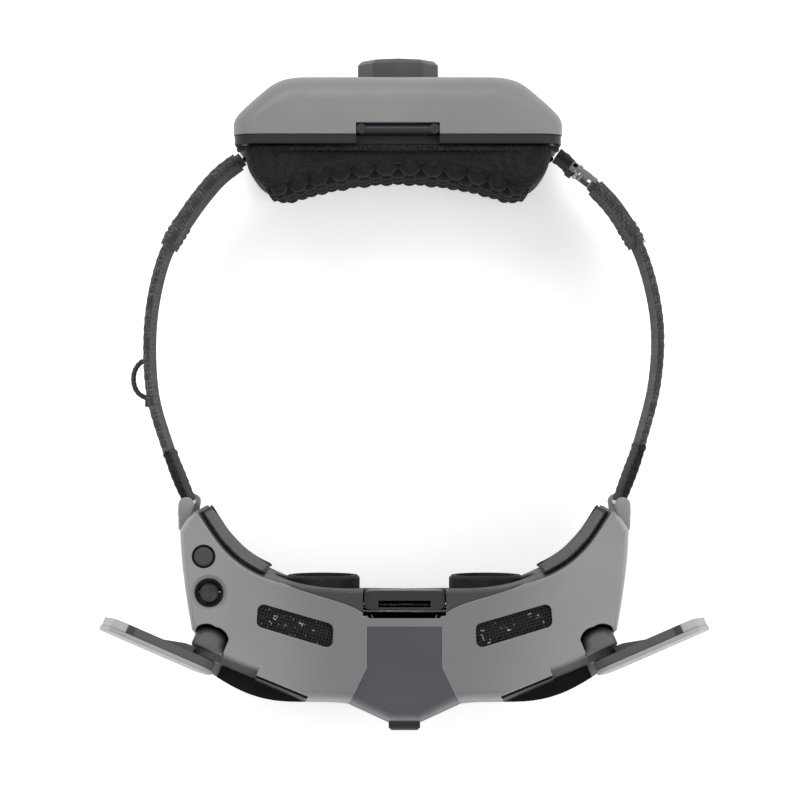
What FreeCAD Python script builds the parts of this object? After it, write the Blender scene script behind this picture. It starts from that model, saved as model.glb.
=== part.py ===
"""First-person-view goggles with a headband and a rear battery pack. Millimetres.

Frame: the goggles stand on the plane Z = 0. X = 0 is the visor's middle plane and +X is the
wearer's left, -Y is the front (the nose), +Y is the rear (the battery pack).
"""
import FreeCAD, Part
import math
import os
import re
import Sketcher
from FreeCAD import Placement, Rotation, Vector

DOC = FreeCAD.newDocument("Goggles")

SIZES = {
    # visor shell
    "visor_high": 75.0, "wall": 2.2, "split_level": 40.0, "seam": 0.12,
    "rear_mid_y": -74.0, "nose_y": -127.8, "nose_half": 6.3,
    "arm_rise_y": -90.0, "arm_rise_slope": 0.30,
    "nose_void_rear": 20.0, "nose_void_front": 9.0, "nose_void_level": 2.0,
    "cover_deep": 2.8, "panel_half": 14.0, "panel_rear_y": -88.6, "panel_flare_half": 21.5, "panel_low": 14.0,
    "grille_wide": 12.2, "grille_high": 18.0, "grille_low": 36.0, "grille_front_y": -130.3,
    "vent_low": 71.2, "vent_plate": 1.2, "vent_flange": 1.4,
    "screw_head_low": 3.6, "screw_head_radius": 2.2,
    "pad_thick": 1.6, "pad_low": 16.0, "pad_high": 52.0,
    # strap bar at the front
    "bar_half": 15.4, "bar_rear_y": -74.8, "bar_front_y": -82.2, "bar_low": 66.6, "bar_high": 6.6,
    "slot_half": 10.0, "slot_wide": 2.6,
    # controls
    "back_x": -76.2, "back_y": -61.8, "back_cap_radius": 3.6, "back_hole_radius": 4.5,
    "stick_x": -74.2, "stick_y": -75.6, "stick_level": 69.6, "stick_cap_radius": 3.7,
    "bezel_inner": 4.55, "bezel_outer": 5.3, "plunger_radius": 5.0, "running_gap": 0.06,
    "dish_radius": 7.0, "dish_deep": 1.2,
    # optics
    "eye_x": 32.0, "eye_z": 38.0, "eye_radius": 14.5, "eye_rear_y": -71.0, "eye_front_y": -91.0,
    "eye_travel": 4.0, "lens_radius": 12.0, "rail_radius": 1.5, "rail_y": -84.0, "rail_offset": 17.0,
    "rail_half": 54.0, "display_wide": 21.0, "display_high": 15.6, "display_thick": 2.0,
    # electronics
    "board_long": 88.0, "board_high": 40.0, "board_thick": 1.6, "board_y": -101.0, "board_low": 16.0,
    "fan_radius": 14.0, "fan_y": -113.0, "fan_z": 32.0, "fan_thick": 6.0,
    "jack_y": -86.0, "jack_z": 26.0, "jack_bore": 1.8, "jack_long": 14.0, "jack_outer": 3.2,
    # antennas
    "hinge_x": -78.4, "hinge_y": -104.6, "hinge_z": 58.0, "hinge_plan": 22.5, "hinge_lean": 10.0,
    "paddle_long": 41.0, "paddle_half": 11.0, "paddle_back": 2.6, "cover_from": 0.9,
    "paddle_heel": 4.2, "paddle_rest": 17.0, "pin_radius": 2.5, "barrel_radius": 6.2,
    "barrel_long": 11.0, "slot_gap": 0.3, "lip_level": -6.0,
    # headband
    "lug_x": 84.4, "lug_y": -43.0, "strap_pin_radius": 1.5,
    "strap_thick": 2.4, "strap_high": 32.0, "strap_low": 19.0, "sleeve_thick": 3.4,
    # battery pack
    "pack_x": -2.5, "pack_high": 68.0, "pack_half": 63.2, "pack_rear_y": 121.8, "seam_y": 99.3,
    "frame_y": 95.7, "pack_wall": 2.2, "cell_radius": 9.2, "cell_long": 65.0, "cell_y": 109.6,
    "knob_radius": 16.5, "knob_high": 8.2, "knob_gap": 0.3, "shaft_radius": 3.9, "axle_z": 34.0,
    "rack_y": 91.0, "rack_thick": 4.0, "gear_module": 0.8, "gear_teeth": 12.0,
    "tongue_thick": 1.6, "rack_reach": 53.0,
    "horn_half": 50.0, "horn_y": 76.3, "pad_mid_y": 87.0,
    "power_x": 30.0, "power_radius": 4.5,
}

SHEET = DOC.addObject("Spreadsheet::Sheet", "Sizes")
for row, (alias, number) in enumerate(SIZES.items(), start=1):
    SHEET.set(f"A{row}", alias)
    SHEET.set(f"B{row}", str(number))
    SHEET.setAlias(f"B{row}", alias)
DOC.recompute()

NODES = []


def num(formula):
    """The value of a formula written in the sheet's aliases, worked out in a spare cell."""
    SHEET.set("D1", f"={formula}")
    SHEET.recompute()
    return float(SHEET.get("D1"))


def bound(formula):
    """The same formula as another object has to write it."""
    return re.sub(r"[a-z]\w+", lambda word: "Sizes." + word.group(0), str(formula))


def bind(item, prop, formula):
    item.setExpression(prop, bound(formula))


def keep(node, item):
    """Names the finished sub-part and puts it on the list of files."""
    item.Label = node
    NODES.append(item)
    return item


# ---------------------------------------------------------------- primitives and booleans
def box(name, corner, sides):
    item = DOC.addObject("Part::Box", name)
    for axis, formula in zip("xyz", corner):
        bind(item, "Placement.Base." + axis, formula)
    for prop, formula in zip(("Length", "Width", "Height"), sides):
        bind(item, prop, formula)
    return item


TURNS = {
    "+X": Rotation(Vector(0, 1, 0), 90), "-X": Rotation(Vector(0, 1, 0), -90),
    "+Y": Rotation(Vector(1, 0, 0), -90), "-Y": Rotation(Vector(1, 0, 0), 90),
    "+Z": Rotation(), "-Z": Rotation(Vector(1, 0, 0), 180),
}


def round_bar(name, start, way, radius, length):
    item = DOC.addObject("Part::Cylinder", name)
    item.Placement = Placement(Vector(), TURNS[way])
    for axis, formula in zip("xyz", start):
        bind(item, "Placement.Base." + axis, formula)
    bind(item, "Radius", radius)
    bind(item, "Height", length)
    return item


def cone(name, start, way, first, last, length):
    item = DOC.addObject("Part::Cone", name)
    item.Placement = Placement(Vector(), TURNS[way])
    for axis, formula in zip("xyz", start):
        bind(item, "Placement.Base." + axis, formula)
    bind(item, "Radius1", first)
    bind(item, "Radius2", last)
    bind(item, "Height", length)
    return item


def fuse(name, *items):
    item = DOC.addObject("Part::MultiFuse", name)
    item.Shapes = list(items)
    item.Refine = False
    return item


def cut(name, base, *tools):
    item = DOC.addObject("Part::Cut", name)
    item.Base = base
    item.Tool = tools[0] if len(tools) == 1 else fuse(name + "_tools", *tools)
    item.Refine = False
    return item


def common(name, base, tool):
    item = DOC.addObject("Part::Common", name)
    item.Base = base
    item.Tool = tool
    item.Refine = False
    return item


def group(name, *items):
    item = DOC.addObject("Part::Compound", name)
    item.Links = list(items)
    return item


def mirrored(name, source, middle="0"):
    """The same piece on the other side of the plane X = middle."""
    item = DOC.addObject("Part::Mirroring", name)
    item.Source = source
    item.Normal = Vector(1, 0, 0)
    bind(item, "Base.x", middle)
    return item


def solid(name, shape):
    """A free-form piece whose shape Part's own functions made from the sheet's sizes."""
    item = DOC.addObject("Part::Feature", name)
    item.Shape = shape
    return item


def spline(points, height=0.0):
    curve = Part.BSplineCurve()
    curve.interpolate([Vector(x, y, height) for x, y in points])
    return curve.toShape()


def segment(start, end, height=0.0):
    return Part.LineSegment(Vector(*start, height), Vector(*end, height)).toShape()


def arc(start, middle, end):
    return Part.Arc(Vector(*start, 0), Vector(*middle, 0), Vector(*end, 0)).toShape()


def prism(wire, low, high):
    face = Part.Face(wire)
    face.translate(Vector(0, 0, low))
    return face.extrude(Vector(0, 0, high - low))


def flip(points):
    return [(-x, y) for x, y in reversed(points)]


# ---------------------------------------------------------------- PartDesign helpers
def new_body(node):
    return DOC.addObject("PartDesign::Body", node + "_body")


def sketch_on(body, name, role, offset="0"):
    sketch = body.newObject("Sketcher::SketchObject", name)
    plane = next(item for item in body.Origin.OriginFeatures if item.Role == role)
    sketch.AttachmentSupport = (plane, [""])
    sketch.MapMode = "FlatFace"
    bind(sketch, "AttachmentOffset.Base.z", offset)
    return sketch


def loop(sketch, corners):
    """A closed loop of straight edges. Each corner is a pair of formulas."""
    first = sketch.GeometryCount
    places = [Vector(num(x), num(y), 0) for x, y in corners]
    count = len(places)
    for n in range(count):
        sketch.addGeometry(Part.LineSegment(places[n], places[(n + 1) % count]), False)
    for n in range(count):
        sketch.addConstraint(Sketcher.Constraint("Coincident", first + n, 2, first + (n + 1) % count, 1))
    for n, (x, y) in enumerate(corners):
        for kind, formula in (("DistanceX", x), ("DistanceY", y)):
            mark = Sketcher.Constraint(kind, -1, 1, first + n, 1, num(formula))
            place = sketch.addConstraint(mark)
            sketch.setExpression(f"Constraints[{place}]", bound(formula))


def ring(sketch, radius, centre=("0", "0")):
    """A circle whose radius and centre are formulas."""
    middle = Vector(num(centre[0]), num(centre[1]), 0)
    geo = sketch.addGeometry(Part.Circle(middle, Vector(0, 0, 1), num(radius)))
    for kind, formula in (("DistanceX", centre[0]), ("DistanceY", centre[1])):
        place = sketch.addConstraint(Sketcher.Constraint(kind, -1, 1, geo, 3, num(formula)))
        sketch.setExpression(f"Constraints[{place}]", bound(formula))
    place = sketch.addConstraint(Sketcher.Constraint("Radius", geo, num(radius)))
    sketch.setExpression(f"Constraints[{place}]", bound(radius))


def pad(body, name, sketch, length, back=False):
    feature = body.newObject("PartDesign::Pad", name)
    feature.Profile = sketch
    bind(feature, "Length", length)
    feature.Reversed = back
    return feature


def pocket(body, name, sketch, length, back=False):
    feature = body.newObject("PartDesign::Pocket", name)
    feature.Profile = sketch
    bind(feature, "Length", length)
    feature.Reversed = back
    return feature


def turned(body, name, sketch, axis="V_Axis"):
    feature = body.newObject("PartDesign::Revolution", name)
    feature.Profile = sketch
    feature.ReferenceAxis = (sketch, [axis])
    feature.Angle = 360.0
    return feature


def place(item, x="0", y="0", z="0", turn=None):
    item.Placement = Placement(Vector(), turn or Rotation())
    for axis, formula in zip("xyz", (x, y, z)):
        bind(item, "Placement.Base." + axis, formula)
    return item


# ---------------------------------------------------------------- visor hull
# The -X half of the plan outline at the widest level, in runs, and how far it draws in at each level.
REAR_RUN = [(-78.4, -44.2), (-73.6, -52.0), (-69.9, -57.1), (-63.3, -63.6), (-53.5, -69.2),
            (-44.0, -72.0), (-30.0, -73.9), (-15.0, -74.4), (0.0, -74.6)]
SIDE_RUN = [(-85.7, -52.2), (-85.3, -60.0), (-83.2, -78.0), (-80.2, -96.0)]
WING_RUN = [(-77.3, -107.4), (-69.0, -112.7), (-60.5, -116.8), (-50.0, -119.4), (-41.2, -119.9),
            (-21.9, -120.6)]
TIP_OUTER = (-82.9, -47.6)
LEVELS = [  # level, front, side and rear draw-in
    (0.0, 9.0, 6.0, 3.0), (5.0, 4.0, 2.6, 1.2), (14.0, 1.2, 1.0, 0.3), (30.0, 0.1, 0.3, 0.0),
    (48.0, 0.0, 0.0, 0.0), (62.0, 2.4, 0.0, 0.0), (71.0, 4.2, 0.5, 0.3), (75.0, 7.2, 2.2, 1.4),
]


def draw_in(level):
    """Front, side and rear draw-in at a level, between the rows of LEVELS."""
    for low, high in zip(LEVELS, LEVELS[1:]):
        if low[0] <= level <= high[0]:
            share = (level - low[0]) / (high[0] - low[0])
            return [a + (b - a) * share for a, b in zip(low[1:], high[1:])]
    raise ValueError(level)


TIP_LEVEL = 14.0
LEAN_TOP, LEAN_DEEP = 72.0, 3.2


def lean(x, level):
    """How far the face side leans in below its top edge: most in the middle, none on the arms."""
    middle = min(1.0, max(0.0, (56.0 - abs(x)) / 26.0))
    depth = min(1.0, max(0.0, (LEAN_TOP - level) / (LEAN_TOP - TIP_LEVEL)))
    return LEAN_DEEP * middle * depth


def hull_wire(level, extra):
    """The closed plan outline at one level, drawn in by extra more for the inside of the wall."""
    front, side, rear = (amount + extra for amount in draw_in(level))
    tip_side, tip_rear = (amount + extra for amount in draw_in(max(level, TIP_LEVEL))[1:])
    rear_run = []
    for n, (x, y) in enumerate(REAR_RUN):
        after = REAR_RUN[min(n + 1, len(REAR_RUN) - 1)]
        before = REAR_RUN[max(n - 1, 0)]
        run = Vector(after[0] - before[0], after[1] - before[1], 0).normalize()
        inwards = tip_rear if n < 4 else rear + lean(x, level)
        keep_x = 0.0 if n == len(REAR_RUN) - 1 else run.y * inwards
        rear_run.append((x + keep_x, y - run.x * inwards))
    rear_run[0] = (rear_run[0][0], rear_run[0][1] - 0.8 * tip_rear)
    tip = (TIP_OUTER[0] + 0.7 * tip_side, TIP_OUTER[1] - 0.9 * tip_rear)
    side_run = [(x + (tip_side if n < 2 else side), y) for n, (x, y) in enumerate(SIDE_RUN)]
    side_run[0] = (side_run[0][0], side_run[0][1] - 0.3 * tip_rear)
    wing_run = [(x + 0.4 * front, y + front) for x, y in WING_RUN]
    wing_run[0] = (WING_RUN[0][0] + side, wing_run[0][1])
    nose = (-num("nose_half") + 0.2 * front, num("nose_y") + front)
    rear_all = rear_run + flip(rear_run)[1:]
    edges = [
        spline(rear_all, level),
        segment(flip([rear_run[0]])[0], flip([tip])[0], level),
        segment(flip([tip])[0], flip([side_run[0]])[0], level),
        spline(flip(side_run)[::-1], level),
        segment((-side_run[-1][0], side_run[-1][1]), (-wing_run[0][0], wing_run[0][1]), level),
        spline(flip(wing_run)[::-1], level),
        segment((-wing_run[-1][0], wing_run[-1][1]), (-nose[0], nose[1]), level),
        segment((-nose[0], nose[1]), nose, level),
        segment(nose, wing_run[-1], level),
        spline(wing_run[::-1], level),
        segment(wing_run[0], side_run[-1], level),
        spline(side_run[::-1], level),
        segment(side_run[0], tip, level),
        segment(tip, rear_run[0], level),
    ]
    return Part.Wire(edges)


def loft_hull(extra, low, high):
    levels = [low] + [row[0] for row in LEVELS if low < row[0] < high] + [high]
    return Part.makeLoft([hull_wire(level, extra) for level in levels], True, False)


def rise_wedge(lift):
    """What is taken from under the arms so that they rise towards their tips."""
    start, slope, end = num("arm_rise_y"), num("arm_rise_slope"), -20.0
    corners = [Vector(-100, start, lift), Vector(-100, end, lift + (end - start) * slope),
               Vector(-100, end, -20), Vector(-100, start, -20), Vector(-100, start, lift)]
    return Part.Face(Part.makePolygon(corners)).extrude(Vector(200, 0, 0))


def hull_solids():
    wall = num("wall")
    outer = loft_hull(0.0, 0.0, num("visor_high")).cut(rise_wedge(0.0))
    inner = loft_hull(wall, wall, num("visor_high") - wall).cut(rise_wedge(wall))
    return outer, inner


HULL, HOLLOW = hull_solids()


# The parting line between the light shells and the rear cover, -X half.
PARTING = [(-76.7, -46.7), (-69.5, -56.7), (-62.9, -63.4), (-51.9, -69.4), (-43.5, -72.9),
           (-27.7, -78.0), (-16.7, -82.4), (-13.2, -85.2)]


def rear_prism(grow):
    """Everything behind the parting line, moved back by grow."""
    line = [(x + 0.5 * grow, y + grow) for x, y in PARTING]
    start = (-79.0, -38.0 + grow)
    edges = [
        segment(start, line[0]), spline(line), segment(line[-1], (-line[-1][0], line[-1][1])),
        spline(flip(line)), segment((-line[0][0], line[0][1]), (-start[0], start[1])),
        segment((-start[0], start[1]), (79.0, 0.0)), segment((79.0, 0.0), (-79.0, 0.0)),
        segment((-79.0, 0.0), start),
    ]
    return prism(Part.Wire(edges), -5.0, 90.0)


def rear_region(gap):
    """The rear cover's part: deeper under the top skin, so that the light top reaches its edge."""
    deep = rear_prism(-num("cover_deep") - gap)
    under = Part.makeBox(300, 300, 100, Vector(-150, -200, num("visor_high - wall") - 0.3 + gap - 100))
    return rear_prism(-gap).fuse(deep.common(under))


def panel_prism(grow):
    """The dark panel's region over the nose, larger all round by grow."""
    half, flare = num("panel_half") + grow, num("panel_flare_half") + grow
    rear = num("panel_rear_y") + grow
    corners = [(-half, rear), (-half, -104.0), (-flare, -119.5), (-flare, -150.0)]
    corners = corners + flip(corners)
    wire = Part.makePolygon([Vector(x, y, 0) for x, y in corners + corners[:1]])
    return prism(wire, num("panel_low") - grow, 90.0)


def hinge_frame():
    """The hinge on the -X side: X out along the paddle's level line, Y forwards along the hinge axis."""
    plan, pitch = math.radians(num("hinge_plan")), math.radians(num("hinge_lean"))
    out = Vector(-math.cos(plan), math.sin(plan), 0)
    ahead = Vector(-math.sin(plan) * math.cos(pitch), -math.cos(plan) * math.cos(pitch), math.sin(pitch))
    rise = out.cross(ahead)
    turn = Rotation(out, ahead, rise, "XYZ")
    return Placement(Vector(num("hinge_x"), num("hinge_y"), num("hinge_z")), turn)


HINGE = hinge_frame()


def hinge_box(x0, x1, y0, y1, z0, z1):
    """A box given in the hinge's own axes."""
    shape = Part.makeBox(x1 - x0, y1 - y0, z1 - z0, Vector(x0, y0, z0))
    shape.Placement = HINGE
    return shape


def hinge_bar(radius, y0, y1):
    shape = Part.makeCylinder(radius, y1 - y0, Vector(0, y0, 0), Vector(0, 1, 0))
    shape.Placement = HINGE
    return shape


def both_sides(shape):
    return [shape, shape.mirror(Vector(), Vector(1, 0, 0))]


def keep_pair(node, name, shape):
    """Keeps a piece and its mirror image as one sub-part."""
    pieces = [solid(f"{name}{n}", part) for n, part in enumerate(both_sides(shape))]
    keep(node, group(name + "Pair", *pieces))


# Depths behind the paddle's middle, in the hinge's axes: paddle slot, tray and knuckle room.
SLOT = num("paddle_back + slot_gap")
TRAY = 0.8
KNUCKLE_ROOM = 5.6
KNUCKLE_REACH = 21.4
POCKET_END = 42.6
POCKET_FLOOR = -11.6


def pocket_tool(depth, end, floor):
    """Room for one folded antenna: the slot, the deeper knuckle room and the opening above the lip."""
    top = 40.0
    reach = KNUCKLE_REACH + end
    room = hinge_box(-POCKET_END - end, 0, -SLOT - depth, SLOT, POCKET_FLOOR - floor, top)
    room = room.fuse(hinge_box(-reach, 0, -KNUCKLE_ROOM - depth, SLOT, POCKET_FLOOR - floor, top))
    room = room.fuse(hinge_bar(12.4, -SLOT - depth, SLOT))
    return room


def barrel_profile(gap, start):
    """Half of the barrel's outline with its domed rear end, larger by gap, from start to the dome."""
    radius = num("barrel_radius") + gap
    end = -SLOT - 0.1 - num("barrel_long") - gap
    return [
        segment((0, start), (radius, start)),
        segment((radius, start), (radius, end + 2.6)),
        arc((radius, end + 2.6), (0.74 * radius, end + 0.8), (0, end)),
        segment((0, end), (0, start)),
    ]


def scoops():
    """What leaves room for a hinge: round and over its barrel, beside it and before the lip."""
    gap = 0.35
    half = barrel_profile(gap, 0.0)[:3]
    around = Part.Face(Part.Wire(barrel_profile(gap, 0.0))).revolve(Vector(), Vector(0, 1, 0), 360)
    over = Part.Wire(half + [edge.mirror(Vector(), Vector(1, 0, 0)) for edge in reversed(half)])
    above = Part.Face(over).extrude(Vector(0, 0, 40))
    around.Placement = HINGE
    above.Placement = HINGE
    shoulder = -SLOT - num("barrel_long") + 3.4
    beside = hinge_box(0, 20, shoulder, 0, 0, 40)
    ahead = hinge_box(-POCKET_END, 30, 0, 30, num("lip_level"), 40)
    return [around, above, beside, ahead]


def vent_outline(grow):
    """A rounded parallelogram on the -X wing, larger by grow."""
    corners = [(-55.6 - grow, -79.3 + grow), (-27.0 + grow, -87.6 + grow),
               (-27.2 + grow, -97.0 - grow), (-56.2 - grow, -88.2 - grow)]
    shape = prism(Part.makePolygon([Vector(x, y, 0) for x, y in corners + corners[:1]]), 0.0, 1.0)
    upright = [edge for edge in shape.Edges if abs(edge.tangentAt(edge.FirstParameter).z) > 0.9]
    return shape.makeFillet(2.4 + grow, upright)


def vent_block(grow, low, high):
    face = next(face for face in vent_outline(grow).Faces if face.normalAt(0, 0).z < -0.9)
    face.translate(Vector(0, 0, low))
    return face.extrude(Vector(0, 0, high - low))


def cylinder_z(x, y, radius, low, high):
    return Part.makeCylinder(num(radius), high - low, Vector(num(x), num(y), low))


def shell_openings():
    """Everything that is cut from the light shells, as one list of tools."""
    top = num("visor_high")
    tools = both_sides(pocket_tool(TRAY + 0.06, 0.0, TRAY + 0.06))
    for scoop in scoops():
        tools += both_sides(scoop)
    tools += both_sides(vent_block(0.0, 60.0, 80.0))
    tools.append(cylinder_z("back_x", "back_y", "back_hole_radius", 60.0, 80.0))
    tools.append(cylinder_z("stick_x", "stick_y", "bezel_outer + 0.1", 60.0, 80.0))
    dish = Part.makeCone(num("bezel_outer"), num("dish_radius"), num("dish_deep"),
                         Vector(num("stick_x"), num("stick_y"), top - num("dish_deep")))
    tools.append(dish)
    half, rear, front = num("bar_half") + 0.4, num("bar_rear_y") + 20, num("bar_front_y") - 2.2
    tools.append(Part.makeBox(2 * half, rear - front, 30, Vector(-half, front, num("bar_low") - 0.5)))
    jack = num("jack_outer")
    tools.append(Part.makeCylinder(jack, 20, Vector(-92, num("jack_y"), num("jack_z")), Vector(1, 0, 0)))
    tools.append(Part.makeBox(20, 9.6, 3.8, Vector(-92, -80.3, num("jack_z") - 1.9)))
    for side in (-1, 1):
        lug_x = -91.0 if side < 0 else 79.0
        tools.append(Part.makeBox(12, 12, 44, Vector(lug_x, -54.0, 13.0)))
        tools.append(Part.makeBox(19, 9, 12, Vector(side * num("eye_x") - 9.5, -93.5, -6)))
    return tools


def largest(shape):
    """The main solid, when a cut also leaves slivers."""
    return max(shape.Solids, key=lambda item: item.Volume)


SCREW_PLACES = [(-61, -86), (-30, -112), (30, -112), (61, -86)]


def screw_posts():
    """Hollow posts in both shells for the screws, and the holes to cut for them."""
    posts, holes = [], []
    head_low, head_radius = num("screw_head_low"), num("screw_head_radius")
    for x, y in SCREW_PLACES:
        posts.append(Part.makeCylinder(3.0, num("visor_high"), Vector(x, y, 0)).common(HULL))
        holes.append(Part.makeCylinder(1.0, num("split_level") + 6.4, Vector(x, y, head_low)))
        holes.append(Part.makeCylinder(head_radius + 0.1, 20, Vector(x, y, head_low + 1.6 - 20)))
    return posts, holes


def visor_shells():
    skin = HULL.cut(HOLLOW)
    ahead = skin.cut(rear_region(num("seam"))).cut(panel_prism(num("seam")))
    ahead = ahead.cut(shell_openings())
    for wall in both_sides(hinge_box(-POCKET_END - 1.6, 8, -KNUCKLE_ROOM - TRAY - 1.4, 6, -14.2, 20)):
        ribs = wall.common(HULL).cut(panel_prism(num("seam"))).cut(rear_prism(0.0))
        ribs = ribs.cut(shell_openings())
        ahead = ahead.fuse(ribs)
    posts, holes = screw_posts()
    ahead = ahead.fuse(posts).cut(holes)
    ahead = ahead.cut(bottom_nose_cut())
    level = num("split_level")
    slab = Part.makeBox(300, 300, 200, Vector(-150, -200, level))
    under = Part.makeBox(300, 300, 200, Vector(-150, -200, level - 200 - num("seam")))
    keep("top_shell", solid("TopShell", largest(ahead.common(slab))))
    keep("bottom_shell", solid("BottomShell", largest(ahead.common(under))))


def nose_panel():
    skin = HULL.cut(HOLLOW).common(panel_prism(0.0)).cut(rear_prism(-num("seam")))
    low, high, wide = num("grille_low"), num("grille_high"), num("grille_wide")
    opening = Part.makeBox(wide + 0.2, 12, high + 0.2, Vector(-wide / 2 - 0.1, -136, low - 0.1))
    bar_room = Part.makeBox(40, 40, 30, Vector(-20, num("bar_front_y") - 2.2, num("bar_low") - 0.5))
    keep("nose_panel", solid("NosePanel", largest(skin.cut(opening).cut(bar_room))))


def nose_grille():
    """The dark window block on the tip of the nose, chamfered to the front."""
    body = new_body("nose_grille")
    outline = sketch_on(body, "GrilleOutline", "XZ_Plane")
    half = "grille_wide / 2"
    loop(outline, [("-" + half, "grille_low"), (half, "grille_low"),
                   (half, "grille_low + grille_high"), ("-" + half, "grille_low + grille_high")])
    block = pad(body, "GrillePad", outline, "4.6")
    DOC.recompute()
    front = max(body.Shape.Faces, key=lambda face: -face.CenterOfMass.y)
    index = [n for n, face in enumerate(body.Shape.Faces, 1) if face.isSame(front)][0]
    bevel = body.newObject("PartDesign::Chamfer", "GrilleBevel")
    bevel.Base = (block, [f"Face{index}"])
    bevel.Size = 1.1
    place(body, "0", "grille_front_y + 4.6", "0")
    keep("nose_grille", body)


def rear_cover():
    wall = num("wall")
    skin = HULL.cut(HOLLOW).common(rear_region(0.0))
    level = num("nose_void_level")
    wide, narrow = num("nose_void_rear"), num("nose_void_front")
    start = Vector(0, num("rear_mid_y") + 6, level)
    void = Part.makeCone(wide, narrow, 24, start, Vector(0, -1, 0))
    cup = Part.makeCone(wide + wall, narrow + wall, 24 + wall, start, Vector(0, -1, 0))
    cup = cup.common(HULL)
    skin = skin.fuse(cup).cut(void)
    tools = [Part.makeBox(2 * num("bar_half") + 0.8, 60, 30,
                          Vector(-num("bar_half") - 0.4, num("bar_front_y") - 2.2, num("bar_low") - 0.5))]
    for side in (-1, 1):
        tools.append(eye_opening(side * num("eye_x"), -60.0, -80.0, 0.7))
        lug_x = -91.0 if side < 0 else 79.0
        tools.append(Part.makeBox(12, 12, 44, Vector(lug_x, -54.0, 13.0)))
    keep("rear_cover", solid("RearCover", largest(skin.cut(tools))))


def eye_opening(x, rear, front, gap):
    """The oblong hole that lets an eyepiece slide sideways."""
    radius, travel = num("eye_radius") + gap, num("eye_travel")
    corner = Vector(x - travel, front, num("eye_z") - radius)
    shape = Part.makeBox(2 * travel, rear - front, 2 * radius, corner)
    for end in (-travel, travel):
        centre = Vector(x + end, front, num("eye_z"))
        shape = shape.fuse(Part.makeCylinder(radius, rear - front, centre, Vector(0, 1, 0)))
    return shape


def bottom_nose_cut():
    """The wearer's nose also needs the front of the cone cleared from the bottom shell."""
    more = num("wall") + 0.3
    wide, narrow = num("nose_void_rear") + more, num("nose_void_front") + more
    start = Vector(0, num("rear_mid_y") + 6, num("nose_void_level"))
    return Part.makeCone(wide, narrow, 24 + more, start, Vector(0, -1, 0))


def face_pads():
    """A slim padded strip along each arm, on the wearer's side of the rear cover."""
    line = [(-77.6, -45.6), (-73.6, -52.0), (-69.9, -57.1), (-63.3, -63.6), (-57.0, -67.5)]
    thick = num("pad_thick")
    inner = []
    for n, (x, y) in enumerate(line):
        after, before = line[min(n + 1, len(line) - 1)], line[max(n - 1, 0)]
        run = Vector(after[0] - before[0], after[1] - before[1], 0).normalize()
        inner.append((x - run.y * thick, y + run.x * thick))
    edges = [spline(line), segment(line[-1], inner[-1]), spline(inner[::-1]), segment(inner[0], line[0])]
    strip = prism(Part.Wire(edges), num("pad_low"), num("pad_low + pad_high"))
    strip.translate(Vector(0.32, 0.3, 0))
    keep_pair("face_pads", "FacePad", strip)


def vent_meshes():
    low = num("vent_low")
    ceiling = num("visor_high") - num("wall")
    plate = vent_block(num("vent_flange"), low, ceiling - 0.05)
    plate = plate.fuse(vent_block(-0.15, ceiling - 0.05, ceiling - 0.05 + num("vent_plate")))
    keep_pair("vent_meshes", "VentMesh", plate)


def front_strap_bar():
    """The loop on top of the visor for an overhead strap."""
    body = new_body("front_strap_bar")
    outline = sketch_on(body, "BarOutline", "XY_Plane")
    loop(outline, [("-bar_half", "bar_front_y"), ("bar_half", "bar_front_y"),
                   ("bar_half", "bar_rear_y"), ("-bar_half", "bar_rear_y")])
    loop(outline, [("-slot_half", "bar_front_y + 0.9"), ("slot_half", "bar_front_y + 0.9"),
                   ("slot_half", "bar_front_y + 0.9 + slot_wide"),
                   ("-slot_half", "bar_front_y + 0.9 + slot_wide")])
    plate = pad(body, "BarPad", outline, "bar_high")
    DOC.recompute()
    limit = num("bar_half - 0.1")
    ends = []
    for n, edge in enumerate(body.Shape.Edges, 1):
        upright = abs(edge.tangentAt(edge.FirstParameter).z) > 0.9
        if upright and abs(edge.CenterOfMass.x) > limit:
            ends.append(f"Edge{n}")
    rounding = body.newObject("PartDesign::Fillet", "BarEnds")
    rounding.Base = (plate, ends)
    rounding.Radius = 2.2
    place(body, z="bar_low")
    keep("front_strap_bar", body)


# ---------------------------------------------------------------- controls on the wearer's right
def back_button():
    body = new_body("back_button")
    profile = sketch_on(body, "BackProfile", "XZ_Plane")
    loop(profile, [("0", "66"), ("2.4", "66"), ("2.4", "69.6"), ("5.4", "69.6"), ("5.4", "70.8"),
                   ("back_cap_radius", "70.8"), ("back_cap_radius", "75.2"),
                   ("back_cap_radius - 0.7", "75.9"), ("0", "75.9")])
    turned(body, "BackTurn", profile)
    place(body, "back_x", "back_y", "0")
    keep("back_button", body)


def joystick_bezel():
    """The black ring round the stick, with the cup below that guides its plunger."""
    body = new_body("joystick_bezel")
    profile = sketch_on(body, "BezelProfile", "XZ_Plane")
    bore = "plunger_radius + running_gap"
    loop(profile, [("2", "60.8"), ("5.9", "60.8"), ("5.9", "71.4"), ("bezel_outer", "71.4"),
                   ("bezel_outer", "74.3"), ("bezel_inner", "74.3"), ("bezel_inner", "71.6"),
                   (bore, "71.6"), (bore, "62"), ("2", "62")])
    turned(body, "BezelTurn", profile)
    place(body, "stick_x", "stick_y", "0")
    keep("joystick_bezel", body)


def joystick_plunger():
    body = new_body("joystick_plunger")
    profile = sketch_on(body, "PlungerProfile", "XZ_Plane")
    loop(profile, [("0", "63.2"), ("plunger_radius", "63.2"), ("plunger_radius", "70.9"),
                   ("plunger_radius - 0.7", "70.9"), ("plunger_radius - 0.7", "66"), ("0", "66")])
    turned(body, "PlungerTurn", profile)
    holes = sketch_on(body, "PivotHoles", "YZ_Plane", "-8")
    ring(holes, "0.5 + running_gap", ("0", "stick_level"))
    pocket(body, "PivotPocket", holes, "16", back=True)
    place(body, "stick_x", "stick_y", "0")
    keep("joystick_plunger", body)


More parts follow.
